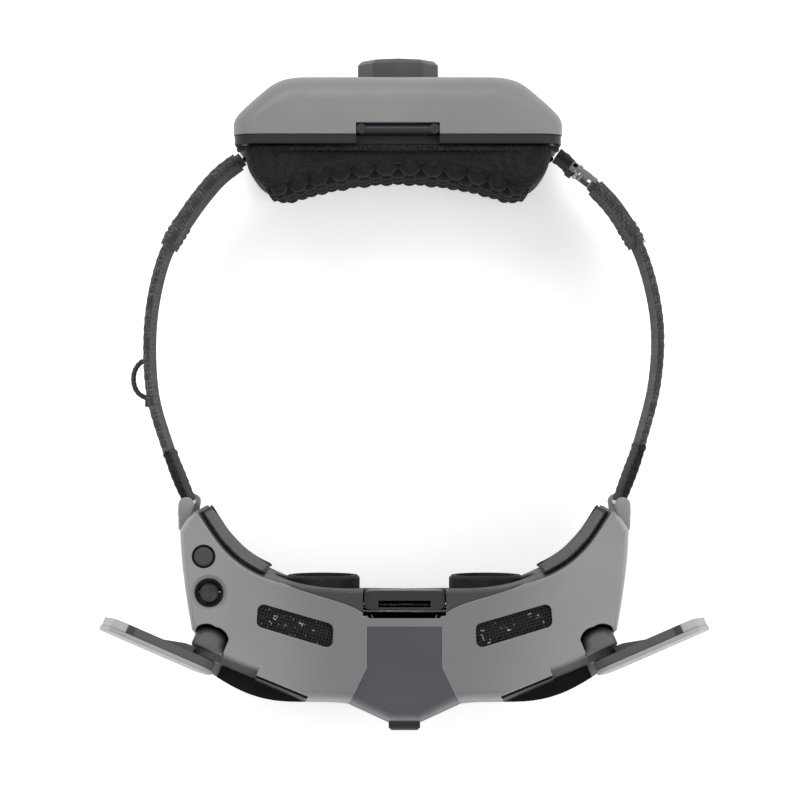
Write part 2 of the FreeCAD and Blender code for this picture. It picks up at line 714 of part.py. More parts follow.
def joystick_gimbal():
    """A small cross ring: pivots along X sit in the plunger, pivots along Y carry the cap."""
    outer = round_bar("GimbalRing", ("stick_x", "stick_y", "stick_level - 0.8"), "+Z", "2.6", "1.6")
    inner = round_bar("GimbalHole", ("stick_x", "stick_y", "stick_level - 2"), "+Z", "1.4", "4")
    hoop = cut("GimbalHoop", outer, inner)
    pins = [round_bar("GimbalEast", ("stick_x + 2.2", "stick_y", "stick_level"), "+X", "0.5", "2.6"),
            round_bar("GimbalWest", ("stick_x - 2.2", "stick_y", "stick_level"), "-X", "0.5", "2.6"),
            round_bar("GimbalNorth", ("stick_x", "stick_y + 2.2", "stick_level"), "+Y", "0.5", "1.3"),
            round_bar("GimbalSouth", ("stick_x", "stick_y - 2.2", "stick_level"), "-Y", "0.5", "1.3")]
    keep("joystick_gimbal", fuse("Gimbal", hoop, *pins))


def joystick_cap():
    disc = cone("StickDisc", ("stick_x", "stick_y", "73.4"), "+Z", "stick_cap_radius",
                "stick_cap_radius - 0.5", "2.9")
    neck = round_bar("StickNeck", ("stick_x", "stick_y", "71.4"), "+Z", "3.4", "2.1")
    leg = ("1.6", "0.75", "3.2")
    legs = [box("StickLegRear", ("stick_x - 0.8", "stick_y + 2.75", "stick_level - 0.9"), leg),
            box("StickLegFront", ("stick_x - 0.8", "stick_y - 3.5", "stick_level - 0.9"), leg)]
    bore = round_bar("StickBore", ("stick_x", "stick_y - 5", "stick_level"), "+Y", "0.5 + running_gap", "10")
    keep("joystick_cap", cut("StickCap", fuse("StickBlank", disc, neck, *legs), bore))


# ---------------------------------------------------------------- optics
def eyepiece(node, side):
    """A lens barrel open at both ends, with lugs that run on the two rails."""
    body = new_body(node)
    profile = sketch_on(body, "Barrel" + node, "YZ_Plane")
    inner = "lens_radius"
    loop(profile, [("eye_front_y", "eye_radius - 1.4"), ("eye_front_y", "eye_radius"),
                   ("eye_rear_y - 1", "eye_radius"), ("eye_rear_y", "eye_radius - 1"),
                   ("eye_rear_y", inner), ("eye_rear_y - 9", inner),
                   ("eye_rear_y - 9", inner + " - 1"), ("eye_rear_y - 10", inner + " - 1"),
                   ("eye_rear_y - 10", "eye_radius - 1.4")])
    turned(body, "BarrelTurn" + node, profile, "H_Axis")
    x = f"{side} * eye_x"
    place(body, x, "0", "eye_z")
    lugs, bores = [], []
    for n, sign in enumerate("+-"):
        level = f"eye_z {sign} rail_offset"
        lugs.append(box(f"Lug{node}{n}", (x + " - 4", "rail_y - 3.2", level + " - 3.2"), ("8", "6.4", "6.4")))
        start = (x + " - 9", "rail_y", level)
        bores.append(round_bar(f"RailBore{node}{n}", start, "+X", "rail_radius + running_gap", "18"))
    slider = box("Slider" + node, (x + " - 3.5", "-92", "0.8"), ("7", "6", "eye_z - rail_offset - 2.8"))
    whole = fuse("Carrier" + node, body, *lugs, slider)
    inside = round_bar("Clear" + node, (x, "eye_front_y - 1", "eye_z"), "+Y", "eye_radius - 1.4", "8")
    keep(node, cut("Eyepiece" + node, whole, *bores, inside))


def lens(node, side):
    """A plano-convex eyepiece lens, bulging towards the eye."""
    radius, rim, rise = num("lens_radius"), 3.0, 2.6
    bow = (radius ** 2 + rise ** 2) / (2 * rise)
    ball = Part.makeSphere(bow, Vector(0, -bow + rim + rise, 0))
    disc = Part.makeCylinder(radius, rim + rise, Vector(), Vector(0, 1, 0))
    item = solid("Lens" + node, disc.common(ball))
    item.Placement = Placement(Vector(side * num("eye_x"), num("eye_rear_y") - 9.0, num("eye_z")), Rotation())
    keep(node, item)


def display(node, side):
    corner = (f"{side} * eye_x - display_wide / 2", "eye_front_y + 0.4", "eye_z - display_high / 2")
    keep(node, box("Display" + node, corner, ("display_wide", "display_thick", "display_high")))


def ipd_rails():
    bars = []
    for n, sign in enumerate("+-"):
        start = ("-rail_half", "rail_y", f"eye_z {sign} rail_offset")
        bars.append(round_bar(f"Rail{n}", start, "+X", "rail_radius", "2 * rail_half"))
    keep("ipd_rails", group("IpdRails", *bars))


def optics_frame():
    """The chassis plate behind the displays, with an end plate for the rails on each side."""
    plate = box("OpticsPlate", ("-rail_half", "-97.2", "14"), ("2 * rail_half", "2", "48"))
    ends = []
    for n, sign in enumerate("-+"):
        corner = f"{sign}(rail_half - 1.5) - 1.5"
        ends.append(box(f"OpticsEnd{n}", (corner, "-97.2", "14"), ("3", "17", "48")))
    holes = [round_bar(f"OpticsHole{n}", ("-rail_half - 3", "rail_y", f"eye_z {sign} rail_offset"), "+X",
                       "rail_radius + 0.02", "2 * rail_half + 6") for n, sign in enumerate("+-")]
    window = box("NoseRoom", ("-14", "-99", "10"), ("28", "5", "18"))
    posts = [round_bar(f"Standoff{n}", (x, "-97", z), "-Y", "2", "-97 - board_y - board_thick")
             for n, (x, z) in enumerate([(-38, 20), (-38, 52), (38, 20), (38, 52)])]
    keep("optics_frame", cut("OpticsFrame", fuse("OpticsBlank", plate, *ends, *posts), window, *holes))


# ---------------------------------------------------------------- electronics
def main_board():
    corner = ("-board_long / 2", "board_y", "board_low")
    keep("main_board", box("MainBoard", corner, ("board_long", "board_thick", "board_high")))


def heat_sink():
    """A plate with upright fins in front of the board, trimmed where the fan stands."""
    base = box("SinkBase", ("-22", "board_y - 2.6", "30"), ("44", "2.6", "28"))
    fins = []
    for n in range(11):
        fins.append(box(f"SinkFin{n}", (f"{-21.5 + 4.2 * n}", "board_y - 9", "30"), ("1.2", "6.6", "28")))
    trim = box("SinkTrim", ("-40", "fan_y", "fan_z - 20"), ("80", "fan_thick", "fan_radius + 21.4"))
    keep("heat_sink", cut("HeatSink", fuse("SinkBlank", base, *fins), trim))


def fan_frame():
    """A square housing with two crossed spokes that carry the motor."""
    side = "2 * fan_radius + 2.8"
    corner = ("-fan_radius - 1.4", "fan_y", "fan_z - fan_radius - 1.4")
    housing = box("FanBody", corner, (side, "fan_thick", side))
    ahead = ("0", "fan_y - 1", "fan_z")
    opening = round_bar("FanOpening", ahead, "+Y", "fan_radius", "fan_thick + 2")
    axle_hole = round_bar("FanAxleHole", ahead, "+Y", "1 + running_gap", "fan_thick + 2")
    rear, across = "fan_y + fan_thick - 1.4", "2 * fan_radius + 1"
    motor = round_bar("FanMotor", ("0", rear, "fan_z"), "+Y", "5.4", "1.4")
    spokes = [box("FanSpokeA", ("-fan_radius - 0.5", rear, "fan_z - 0.8"), (across, "1.4", "1.6")),
              box("FanSpokeB", ("-0.8", rear, "fan_z - fan_radius - 0.5"), ("1.6", "1.4", across))]
    hollow = cut("FanHousing", housing, opening)
    keep("fan_frame", cut("FanFrame", fuse("FanBlank", hollow, motor, *spokes), axle_hole))


def fan_rotor():
    """A hub with curved blades on a short axle."""
    hub = round_bar("FanHub", ("0", "fan_y + 0.4", "fan_z"), "+Y", "5", "fan_thick - 2")
    axle = round_bar("FanAxle", ("0", "fan_y + 3", "fan_z"), "+Y", "1", "fan_thick - 3")
    blades = []
    start = Placement(Vector(0, num("fan_y") + 0.5, num("fan_z")), Rotation())
    for n in range(7):
        turn = math.radians(360 / 7 * n)
        blade = Part.makeBox(8.2, 0.8, 3.4, Vector(4.4, -0.4, 0))
        blade.rotate(Vector(8, 0, 1.7), Vector(1, 0, 0), 32)
        blade.rotate(Vector(), Vector(1, 0, 0), -90)
        blade.translate(Vector(0, 0.3, 0))
        blade.rotate(Vector(), Vector(0, 1, 0), math.degrees(turn))
        item = solid(f"FanBlade{n}", blade)
        item.Placement = start.multiply(item.Placement)
        blades.append(item)
    keep("fan_rotor", fuse("FanRotor", hub, axle, *blades))


def ports():
    """The sockets on the outer side of the wearer's right arm."""
    body = round_bar("JackBody", ("-83.4", "jack_y", "jack_z"), "+X", "jack_outer", "jack_long + 1")
    bore = round_bar("JackBore", ("-84", "jack_y", "jack_z"), "+X", "jack_bore", "jack_long + 0.6")
    keep("audio_jack", cut("AudioJack", body, bore))
    usb = box("UsbBody", ("-84.2", "-80.3", "jack_z - 1.9"), ("8", "9.6", "3.8"))
    gap = box("UsbGap", ("-84.8", "-79.9", "jack_z - 1.4"), ("7.4", "8.8", "2.8"))
    tongue = box("UsbTongue", ("-82.6", "-78.4", "jack_z - 0.35"), ("6", "5.8", "0.7"))
    keep("usb_port", fuse("UsbPort", cut("UsbShell", usb, gap), tongue))


def shell_screws():
    """Four identical screws, put in from below, that hold the two light shells together."""
    screws = []
    for n, (x, y) in enumerate(SCREW_PLACES):
        head = round_bar(f"ScrewHead{n}", (x, y, "screw_head_low"), "+Z", "screw_head_radius", "1.6")
        shank = round_bar(f"ScrewShank{n}", (x, y, "screw_head_low"), "+Z", "1", "split_level + 6")
        screws.append(fuse(f"Screw{n}", head, shank))
    keep("shell_screws", group("ShellScrews", *screws))


# ---------------------------------------------------------------- antennas
def paddle_outline(inset):
    """The paddle seen along its hinge axis: a blunt heel at the hinge and a rounded tip."""
    heel, half, length = num("paddle_heel") - inset, num("paddle_half") - inset, num("paddle_long") - inset
    big, small = 8.0 - inset, 4.6 - inset
    spare = 1 - math.sqrt(0.5)
    wide, tight = big * spare, small * spare
    corners = [
        segment((-heel + big, -half), (length - small, -half)),
        arc((length - small, -half), (length - tight, -half + tight), (length, -half + small)),
        segment((length, -half + small), (length, half - small)),
        arc((length, half - small), (length - tight, half - tight), (length - small, half)),
        segment((length - small, half), (-heel + big, half)),
        arc((-heel + big, half), (-heel + wide, half - wide), (-heel, half - big)),
        segment((-heel, half - big), (-heel, -half + big)),
        arc((-heel, -half + big), (-heel + wide, -half + wide), (-heel + big, -half)),
    ]
    return Part.Wire(corners)


def paddle_slab(inset, low, high):
    """The outline stood up so that it faces along the hinge's Y axis, between two depths."""
    slab = Part.Face(paddle_outline(inset)).extrude(Vector(0, 0, high - low))
    slab.rotate(Vector(), Vector(1, 0, 0), 90)
    slab.translate(Vector(0, high, 0))
    return slab


def rest_frame():
    """The hinge's axes, turned up by the paddle's rest angle."""
    return HINGE.multiply(Placement(Vector(), Rotation(Vector(0, 1, 0), -num("paddle_rest"))))


def antenna_pieces():
    """One antenna's four pieces in the hinge's axes."""
    back, front = -num("paddle_back"), num("paddle_back")
    join = num("cover_from")
    face = paddle_slab(0.0, join, front)
    rim = [edge for edge in face.Edges if edge.CenterOfMass.y > front - 0.01]
    face = face.makeFillet(0.7, rim)
    shell = paddle_slab(0.35, back, join - 0.05)
    rib = Part.makePolygon([Vector(6.9, back, 0), Vector(6.9, back - 2.5, 0), Vector(11, back - 2.3, 0),
                            Vector(20.4, back, 0), Vector(20.4, back + 0.5, 0), Vector(6.9, back + 0.5, 0),
                            Vector(6.9, back, 0)])
    knuckle = Part.Face(rib).extrude(Vector(0, 0, 15))
    knuckle.translate(Vector(0, 0, -7.5))
    shell = shell.fuse(knuckle)
    for n in range(4):
        groove = Part.makeBox(0.7, 0.5, 15, Vector(31.5 + 1.9 * n, back - 0.01, -7.5))
        shell = shell.cut(groove)
    shell = shell.cut(Part.makeBox(32, 1.4, 17, Vector(7, -0.55, -8.5)))
    radius = num("pin_radius")
    shell = shell.cut(Part.makeCylinder(radius, 8, Vector(0, -6, 0), Vector(0, 1, 0)))
    element = Part.makeBox(30, 0.8, 15, Vector(8, -0.55, -7.5))
    inner_end = Vector(0, -num("barrel_long") - 2.1, 0)
    pin = Part.makeCylinder(radius, num("barrel_long") + 2.9, inner_end, Vector(0, 1, 0))
    return {"cover": face, "back": shell, "element": element, "pin": pin}


def antennas():
    """The hinge's axes are on the -X side, so the mirrored pieces are the wearer's left ones."""
    frame = rest_frame()
    nodes = {"cover": "antenna_cover", "back": "antenna_back", "element": "antenna_element",
             "pin": "hinge_pin"}
    for kind, shape in antenna_pieces().items():
        right = solid("Antenna" + kind, shape)
        right.Placement = frame
        keep(nodes[kind] + "_right", right)
        keep(nodes[kind] + "_left", mirrored("Mirror" + kind, right))


def hinge_barrels():
    """The fixed half of each hinge: a barrel with a domed rear end and a blind bore for the pin."""
    start = -SLOT - 0.1
    end = start - num("barrel_long")
    barrel = Part.Face(Part.Wire(barrel_profile(0.0, start))).revolve(Vector(), Vector(0, 1, 0), 360)
    barrel.Placement = HINGE
    foot = hinge_box(-3.0, 12.0, -12.0, -8.0, -15.0, 0.0).common(HOLLOW)
    shape = barrel.fuse(foot).cut(hinge_bar(num("pin_radius + running_gap"), end + 0.6, 0.0))
    keep_pair("hinge_barrels", "HingeBarrel", shape)


def antenna_trays():
    """The black liner of each antenna's recess: its back wall and floor."""
    liner = pocket_tool(TRAY, 0.0, TRAY).cut(pocket_tool(0.0, 0.02, 0.0))
    liner = liner.common(hinge_box(-POCKET_END, -7.2, -SLOT - TRAY, SLOT, -30, 11.0))
    whole = largest(liner.common(HULL))
    keep_pair("antenna_trays", "AntennaTray", whole)


# ---------------------------------------------------------------- straps
def ribbon(path, thick, low, high):
    """An upright band of even thickness along a plan curve."""
    curve = spline(path)
    count = 2 * len(path)
    sides = ([], [])
    for n in range(count + 1):
        at = curve.FirstParameter + (curve.LastParameter - curve.FirstParameter) * n / count
        point, run = curve.valueAt(at), curve.tangentAt(at)
        across = Vector(-run.y, run.x, 0) * (thick / 2)
        sides[0].append(((point + across).x, (point + across).y))
        sides[1].append(((point - across).x, (point - across).y))
    first, second = sides
    edges = [spline(first), segment(first[-1], second[-1]),
             spline(second[::-1]), segment(second[0], first[0])]
    return prism(Part.Wire(edges), low, high)


RIGHT_BAND = [(-64.6, 91.9), (-74.6, 83.6), (-87.2, 66.9), (-95.3, 50.7), (-99.8, 27.0), (-99.0, 0.0),
              (-92.0, -24.0)]
RIGHT_SLEEVE = [(-91.9, -24.4), (-87.9, -34.5), (-84.4, -42.4)]
LEFT_BAND = [(73.6, 82.6), (83.4, 71.6), (93.6, 53.5), (99.3, 28.7), (98.4, 4.0), (91.9, -21.5)]
LEFT_SLEEVE = [(91.8, -21.9), (88.0, -33.0), (84.4, -42.4)]


def straps():
    low, high = num("strap_low"), num("strap_low + strap_high")
    keep("strap_band_right", solid("BandRight", ribbon(RIGHT_BAND, num("strap_thick"), low, high)))
    keep("strap_band_left", solid("BandLeft", ribbon(LEFT_BAND, num("strap_thick"), low, high)))
    for node, path in (("strap_sleeve_right", RIGHT_SLEEVE), ("strap_sleeve_left", LEFT_SLEEVE)):
        x = math.copysign(num("lug_x"), path[0][0])
        eyelet = Part.makeCylinder(2.8, high - low + 1, Vector(x, num("lug_y"), low - 0.5))
        pin_hole = Part.makeCylinder(num("strap_pin_radius") + 0.1, 60, Vector(x, num("lug_y"), 5))
        sleeve = ribbon(path, num("sleeve_thick"), low - 0.5, high + 0.5).fuse(eyelet).cut(pin_hole)
        keep(node, solid("Sleeve" + node, sleeve))


def strap_lugs():
    """The yoke on each arm tip that holds the sleeve's pin, and the pin."""
    x, y, radius = num("lug_x"), num("lug_y"), num("strap_pin_radius")
    yoke = Part.makeBox(5.6, 6.4, 40, Vector(-x - 2.6, y - 10.2, 15.0))
    for low in (15.0, 52.6):
        yoke = yoke.fuse(Part.makeBox(5.6, 4.6, 2.4, Vector(-x - 2.6, y - 4.0, low)))
        yoke = yoke.fuse(Part.makeCylinder(2.8, 2.4, Vector(-x, y, low)))
    yoke = yoke.cut(Part.makeCylinder(radius, 60, Vector(-x, y, 5)))
    keep_pair("strap_lugs", "StrapLug", yoke)
    keep_pair("strap_pins", "StrapPin", Part.makeCylinder(radius, 40.2, Vector(-x, y, 14.9)))


def cord_loop():
    """A thin cord loop sewn to the outside of the band."""
    path = Part.BSplineCurve()
    path.interpolate([Vector(-101.4, 12.6, 36), Vector(-104.4, 11.4, 36), Vector(-107.0, 5.0, 36),
                      Vector(-104.6, -1.2, 36), Vector(-100.4, -2.0, 36)])
    wire = Part.Wire([path.toShape()])
    start, run = path.value(path.FirstParameter), path.tangent(path.FirstParameter)[0]
    disc = Part.Wire([Part.Circle(start, run, 0.8).toShape()])
    keep("cord_loop", solid("CordLoop", wire.makePipeShell([disc], True, False)))


def clip():
    """The rear clip on the wearer's left: a webbing tab out of the pack and a hook that the band loops on."""
    tab = ribbon([(60.6, 93.6), (64.0, 91.2), (67.4, 87.4)], 3.2, 21.0, 49.0)
    keep("clip_tab", solid("ClipTab", tab))
    plate = ribbon([(68.0, 86.9), (70.6, 84.9), (73.0, 83.2)], 2.0, 20.0, 50.0)
    window = Part.makeBox(4, 4, 22, Vector(69.0, 82.6, 24))
    keep("clip_hook", solid("ClipHook", plate.cut(window)))


# ---------------------------------------------------------------- battery pack
def pack_wire(inset):
    """The rear shell's plan: a flat back with rounded shoulders down to the seam."""
    half, rear, seam = num("pack_half") - inset, num("pack_rear_y") - inset, num("seam_y")
    shoulder = Part.BSplineCurve()
    run = [Vector(half, seam + 3.2, 0), Vector(half - 2.6, seam + 8.8, 0), Vector(half - 10.6, rear - 6.4, 0),
           Vector(35.0, rear, 0)]
    shoulder.interpolate(Points=run, InitialTangent=Vector(0, 1, 0), FinalTangent=Vector(-1, 0, 0))
    corner = shoulder.toShape()
    other = corner.mirror(Vector(), Vector(1, 0, 0))
    edges = [segment((-half, seam), (half, seam)), segment((half, seam), (half, seam + 3.2)), corner,
             segment((35.0, rear), (-35.0, rear)), other, segment((-half, seam + 3.2), (-half, seam))]
    return Part.Wire(Part.__sortEdges__(edges))


def pack_block(inset, rounding):
    shape = prism(pack_wire(inset), inset, num("pack_high") - inset)
    rims = [edge for edge in shape.Edges
            if edge.BoundBox.ZLength < 0.01 and edge.BoundBox.YMax > num("seam_y") + 0.1]
    return shape.makeFillet(rounding, rims)


def at_pack(shape):
    shape.translate(Vector(num("pack_x"), 0, 0))
    return shape


def bar_recess():
    """The cut across the pack's top edge for the rear strap bar."""
    return Part.makeBox(32.0, 9.2, 20, Vector(-16.0, 94.4, 62.0))


def pack_rear_shell():
    wall = num("pack_wall")
    shape = pack_block(0.0, 9.0).cut(pack_block(wall, 6.8))
    axle = num("axle_z")
    rearwards, side = Vector(0, 1, 0), num("power_x")
    shaft = Part.makeCylinder(num("shaft_radius + running_gap"), 30, Vector(0, 110, axle), rearwards)
    power = Part.makeCylinder(num("power_radius") + 0.3, 30, Vector(side, 110, axle), rearwards)
    window = Part.makeBox(25.6, 30, 3.0, Vector(side - 12.8, 110, axle - 14))
    socket = Part.makeBox(9.4, 30, 3.6, Vector(-side - 4.7, 110, axle - 1.8))
    for tool in (shaft, power, window, socket, bar_recess()):
        shape = shape.cut(tool)
    keep("pack_rear_shell", solid("PackRearShell", at_pack(largest(shape))))


def pack_front_frame():
    """The rigid carrier: a rim that meets the shell and a box that holds the racks."""
    high, front, seam = num("pack_high"), num("frame_y"), num("seam_y") - num("seam")
    half = num("pack_half") - 0.4
    rim = Part.makeBox(2 * half, seam - front, high - 0.8, Vector(-half, front, 0.4))
    upright = [edge for edge in rim.Edges if abs(edge.tangentAt(edge.FirstParameter).y) > 0.9]
    rim = rim.makeFillet(9.0, upright)
    core = Part.makeBox(114, front - 88.4, 52, Vector(-57, 88.4, 8))
    rack, thick, axle = num("rack_y") - 0.15, num("rack_thick") + 0.3, num("axle_z")
    channel = Part.makeBox(140, thick, 24.6, Vector(-70, rack, axle - 12.3))
    mouths = [Part.makeBox(16, 6.2, 33.2, Vector(x, 89.9, 18.4)) for x in (-58.0, 42.0)]
    shaft = Part.makeCylinder(num("shaft_radius + running_gap"), 30, Vector(0, 80, axle), Vector(0, 1, 0))
    bench = Part.makeBox(120, 2.6, 26, Vector(-60, 96.9, 4))
    shape = rim.fuse(core).cut([channel, shaft, bar_recess()] + mouths)
    shape = shape.fuse(bench.common(rim))
    keep("pack_front_frame", solid("PackFrontFrame", at_pack(largest(shape.cut(shaft)))))


def pack_cushion():
    """The soft pad for the back of the head: hollow behind, curved in front."""
    half, horn, horn_y, mid_y = 61.8, num("horn_half"), num("horn_y"), num("pad_mid_y")
    rear = num("frame_y") - 0.25
    side = [(half, rear - 0.4), (61.2, 92.6), (59.8, 86.0), (56.9, 81.0), (53.6, 77.6)]
    tip = arc((53.6, 77.6), (51.8, horn_y + 0.1), (horn - 1.0, horn_y + 0.5))
    hollow = arc((horn - 1.0, horn_y + 0.5), (0, mid_y), (-horn + 1.0, horn_y + 0.5))
    edges = [segment((-half, rear - 0.4), (half, rear - 0.4)), spline(side), tip, hollow,
             tip.mirror(Vector(), Vector(1, 0, 0)), spline(flip(side))]
    shape = prism(Part.Wire(Part.__sortEdges__(edges)), 2.0, num("pack_high") - 2.0)
    core = Part.makeBox(114.8, 20, 52.8, Vector(-57.4, 88.1, 7.6))
    mouths = [Part.makeBox(14, 6.4, 34.0, Vector(x, 89.8, 18.0)) for x in (-66.0, 52.0)]
    shape = shape.cut([core, bar_recess()] + mouths)
    keep("pack_cushion", solid("PackCushion", at_pack(largest(shape))))


def battery():
    cells = []
    for n, level in enumerate(("13.2", "54.8")):
        start = ("pack_x - cell_long / 2", "cell_y", level)
        cells.append(round_bar(f"Cell{n}", start, "+X", "cell_radius", "cell_long"))
    keep("battery_cells", group("BatteryCells", *cells))
    keep("battery_board", box("BatteryBoard", ("pack_x - 56", "101.5", "10"), ("18", "1.2", "44")))


def rear_strap_bar():
    """A round bar between two bosses, level with the pack's top."""
    bar = round_bar("RearBar", ("pack_x - 13", "101.2", "65.8"), "+X", "1.7", "26")
    bosses = [round_bar("BossWest", ("pack_x - 14", "101.2", "62.1"), "+Z", "1.9", "5.7"),
              round_bar("BossEast", ("pack_x + 14", "101.2", "62.1"), "+Z", "1.9", "5.7")]
    ledge = box("BarLedge", ("pack_x - 15.6", "99.5", "62.05"), ("31.2", "3.4", "1.2"))
    keep("rear_strap_bar", fuse("RearStrapBar", bar, ledge, *bosses))


def adjust_knob():
    """A ten-sided dial with a bevelled rear rim."""
    body = new_body("adjust_knob")
    outline = sketch_on(body, "KnobOutline", "XZ_Plane")
    corners = []
    for n in range(10):
        turn = math.radians(36 * n + 18)
        corners.append((f"knob_radius * {math.cos(turn):.6f}", f"knob_radius * {math.sin(turn):.6f}"))
    loop(outline, corners)
    dial = pad(body, "KnobPad", outline, "knob_high")
    DOC.recompute()
    rear = min(range(len(body.Shape.Faces)), key=lambda n: body.Shape.Faces[n].CenterOfMass.y)
    bevel = body.newObject("PartDesign::Chamfer", "KnobBevel")
    bevel.Base = (dial, [f"Face{rear + 1}"])
    bevel.Size = 1.6
    DOC.recompute()
    hole = sketch_on(body, "KnobHole", "XZ_Plane")
    ring(hole, "shaft_radius")
    pocket(body, "KnobBore", hole, "knob_high - 2.4", back=True)
    place(body, "pack_x", "pack_rear_y + knob_gap", "axle_z", Rotation(Vector(0, 0, 1), 180))
    keep("adjust_knob", body)


def involute_gear(teeth, module, pressure, backlash, thick):
    """A spur gear in the XY plane with true involute flanks, one tooth centred on +Y."""
    pitch = teeth * module / 2
    base = pitch * math.cos(pressure)
    tip, root = pitch + 0.95 * module, pitch - 1.2 * module
    half = math.pi / (2 * teeth) + (math.tan(pressure) - pressure) - backlash / (2 * pitch)

    def flank(radius):
        if radius <= base:
            return half
        angle = math.acos(base / radius)
        return half - (math.tan(angle) - angle)

    radii = [root] + [max(base, root) + (tip - max(base, root)) * n / 4 for n in range(5)]
    corners = []
    for tooth in range(teeth):
        middle = math.pi / 2 + 2 * math.pi * tooth / teeth
        corners += [(r, middle - flank(r)) for r in radii]
        corners += [(r, middle + flank(r)) for r in reversed(radii)]
    points = [Vector(r * math.cos(angle), r * math.sin(angle), 0) for r, angle in corners]
    return Part.Face(Part.makePolygon(points + points[:1])).extrude(Vector(0, 0, thick))


PRESSURE = math.radians(25)


def pinion_shaft():
    """The dial's shaft, with the pinion between the two racks at its front end."""
    teeth, module = int(num("gear_teeth")), num("gear_module")
    gear = involute_gear(teeth, module, PRESSURE, 0.12, num("rack_thick"))
    gear.rotate(Vector(), Vector(1, 0, 0), 90)
    gear.translate(Vector(0, num("rack_y + rack_thick"), 0))
    end = num("pack_rear_y + knob_gap + knob_high") - 2.6
    shaft = Part.makeCylinder(num("shaft_radius"), end - num("rack_y + rack_thick") + 0.5,
                              Vector(0, num("rack_y + rack_thick") - 0.5, 0), Vector(0, 1, 0))
    stub = Part.makeCylinder(num("shaft_radius"), 2.2, Vector(0, num("rack_y") - 2.0, 0), Vector(0, 1, 0))
    item = solid("PinionShaft", gear.fuse([shaft, stub]))
    item.Placement = Placement(Vector(num("pack_x"), 0, num("axle_z")), Rotation())
    keep("pinion_shaft", item)


def rack_shape():
    """The upper rack, reaching towards +X, with its teeth pointing down at the pinion."""
    module, teeth = num("gear_module"), num("gear_teeth")
    pitch_line = teeth * module / 2
    tall, deep, step = 0.9 * module, 1.25 * module, math.pi * module
    slope, thin = math.tan(PRESSURE), 0.06
    half = step / 4 - thin
    root, crest = half + deep * slope, half - tall * slope
    points = [(-14.8, pitch_line + 5.0), (-14.8, pitch_line + deep)]
    for n in range(-5, 6):
        # a tooth of the pinion stands on +Z at rest, so a rack space is centred there
        middle = (n + 0.5) * step
        points += [(middle - root, pitch_line + deep), (middle - crest, pitch_line - tall),
                   (middle + crest, pitch_line - tall), (middle + root, pitch_line + deep)]
    reach = num("rack_reach")
    points += [(reach - 9, pitch_line + deep), (reach - 9, pitch_line + 5.0)]
    corners = [Vector(x, 0, z) for x, z in points]
    bar = Part.Face(Part.makePolygon(corners + corners[:1])).extrude(Vector(0, num("rack_thick"), 0))
    middle = (num("rack_thick") - num("tongue_thick")) / 2
    tongue = Part.makeBox(9.5, num("tongue_thick"), 24, Vector(reach - 9.5, middle, -12))
    slot = Part.makeBox(2.2, 20, 18, Vector(reach - 4.2, -8, -9))
    return bar.fuse(tongue).cut(slot)


def racks():
    upper = rack_shape()
    lower = rack_shape()
    lower.rotate(Vector(), Vector(0, 1, 0), 180)
    start = Placement(Vector(num("pack_x"), num("rack_y"), num("axle_z")), Rotation())
    for node, shape in (("rack_left", upper), ("rack_right", lower)):
        item = solid("Rack" + node, shape)
        item.Placement = start.multiply(item.Placement)
        keep(node, item)


def power_button():
    body = new_body("power_button")
    profile = sketch_on(body, "PowerProfile", "XY_Plane")
    flange = "power_radius + 1.4"
    loop(profile, [("0", "pack_rear_y - 5"), (flange, "pack_rear_y - 5"), (flange, "pack_rear_y - 3.4"),
                   ("power_radius", "pack_rear_y - 3.4"), ("power_radius", "pack_rear_y + 0.2"),
                   ("power_radius - 0.5", "pack_rear_y + 0.7"), ("0", "pack_rear_y + 0.7")])
    turned(body, "PowerTurn", profile)
    place(body, "pack_x + power_x", "0", "axle_z")
    keep("power_button", body)


def led_window():
    corner = ("pack_x + power_x - 12.8", "pack_rear_y - 2.4", "axle_z - 14")
    keep("led_window", box("LedWindow", corner, ("25.6", "2.4", "3")))


def pack_usb_port():
    x = "pack_x - power_x"
    usb = box("PackUsbBody", (x + " - 4.7", "pack_rear_y - 8", "axle_z - 1.8"), ("9.4", "7.9", "3.6"))
    gap = box("PackUsbGap", (x + " - 4.2", "pack_rear_y - 7", "axle_z - 1.3"), ("8.4", "9", "2.6"))
    tongue = box("PackUsbTongue", (x + " - 2.9", "pack_rear_y - 7.2", "axle_z - 0.35"), ("5.8", "5.6", "0.7"))
    keep("pack_usb_port", fuse("PackUsbPort", cut("PackUsbShell", usb, gap), tongue))


# ---------------------------------------------------------------- assembly
def build():
    visor_shells()
    nose_panel()
    nose_grille()
    rear_cover()
    face_pads()
    vent_meshes()
    front_strap_bar()
    back_button()
    joystick_bezel()
    joystick_plunger()
    joystick_gimbal()
    joystick_cap()
    # the wearer's left is +X
    for node, side in (("left", 1), ("right", -1)):
        eyepiece("eyepiece_" + node, side)
        lens("lens_" + node, side)
        display("display_" + node, side)
    ipd_rails()
    optics_frame()
    main_board()
    heat_sink()
    fan_frame()
    fan_rotor()
    ports()
    shell_screws()
    antennas()
    hinge_barrels()
    antenna_trays()
    straps()
    strap_lugs()
    cord_loop()
    clip()
    pack_rear_shell()
    pack_front_frame()
    pack_cushion()
    battery()
    rear_strap_bar()
    adjust_knob()
    pinion_shaft()
    racks()
    power_button()
    led_window()
    pack_usb_port()


def write_files():
    DOC.recompute()
    for item in DOC.Objects:
        if "Invalid" in item.State or "Error" in item.State:
            raise RuntimeError(f"{item.Label} is {item.State}")
    os.makedirs("parts", exist_ok=True)
    for item in NODES:
        if item.Shape.isNull() or not item.Shape.isValid() or not item.Shape.Solids:
            raise RuntimeError(f"{item.Label} has no valid shape")
        item.Shape.exportStep(f"parts/{item.Label}.step")


build()
write_files()
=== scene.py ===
import math
import random

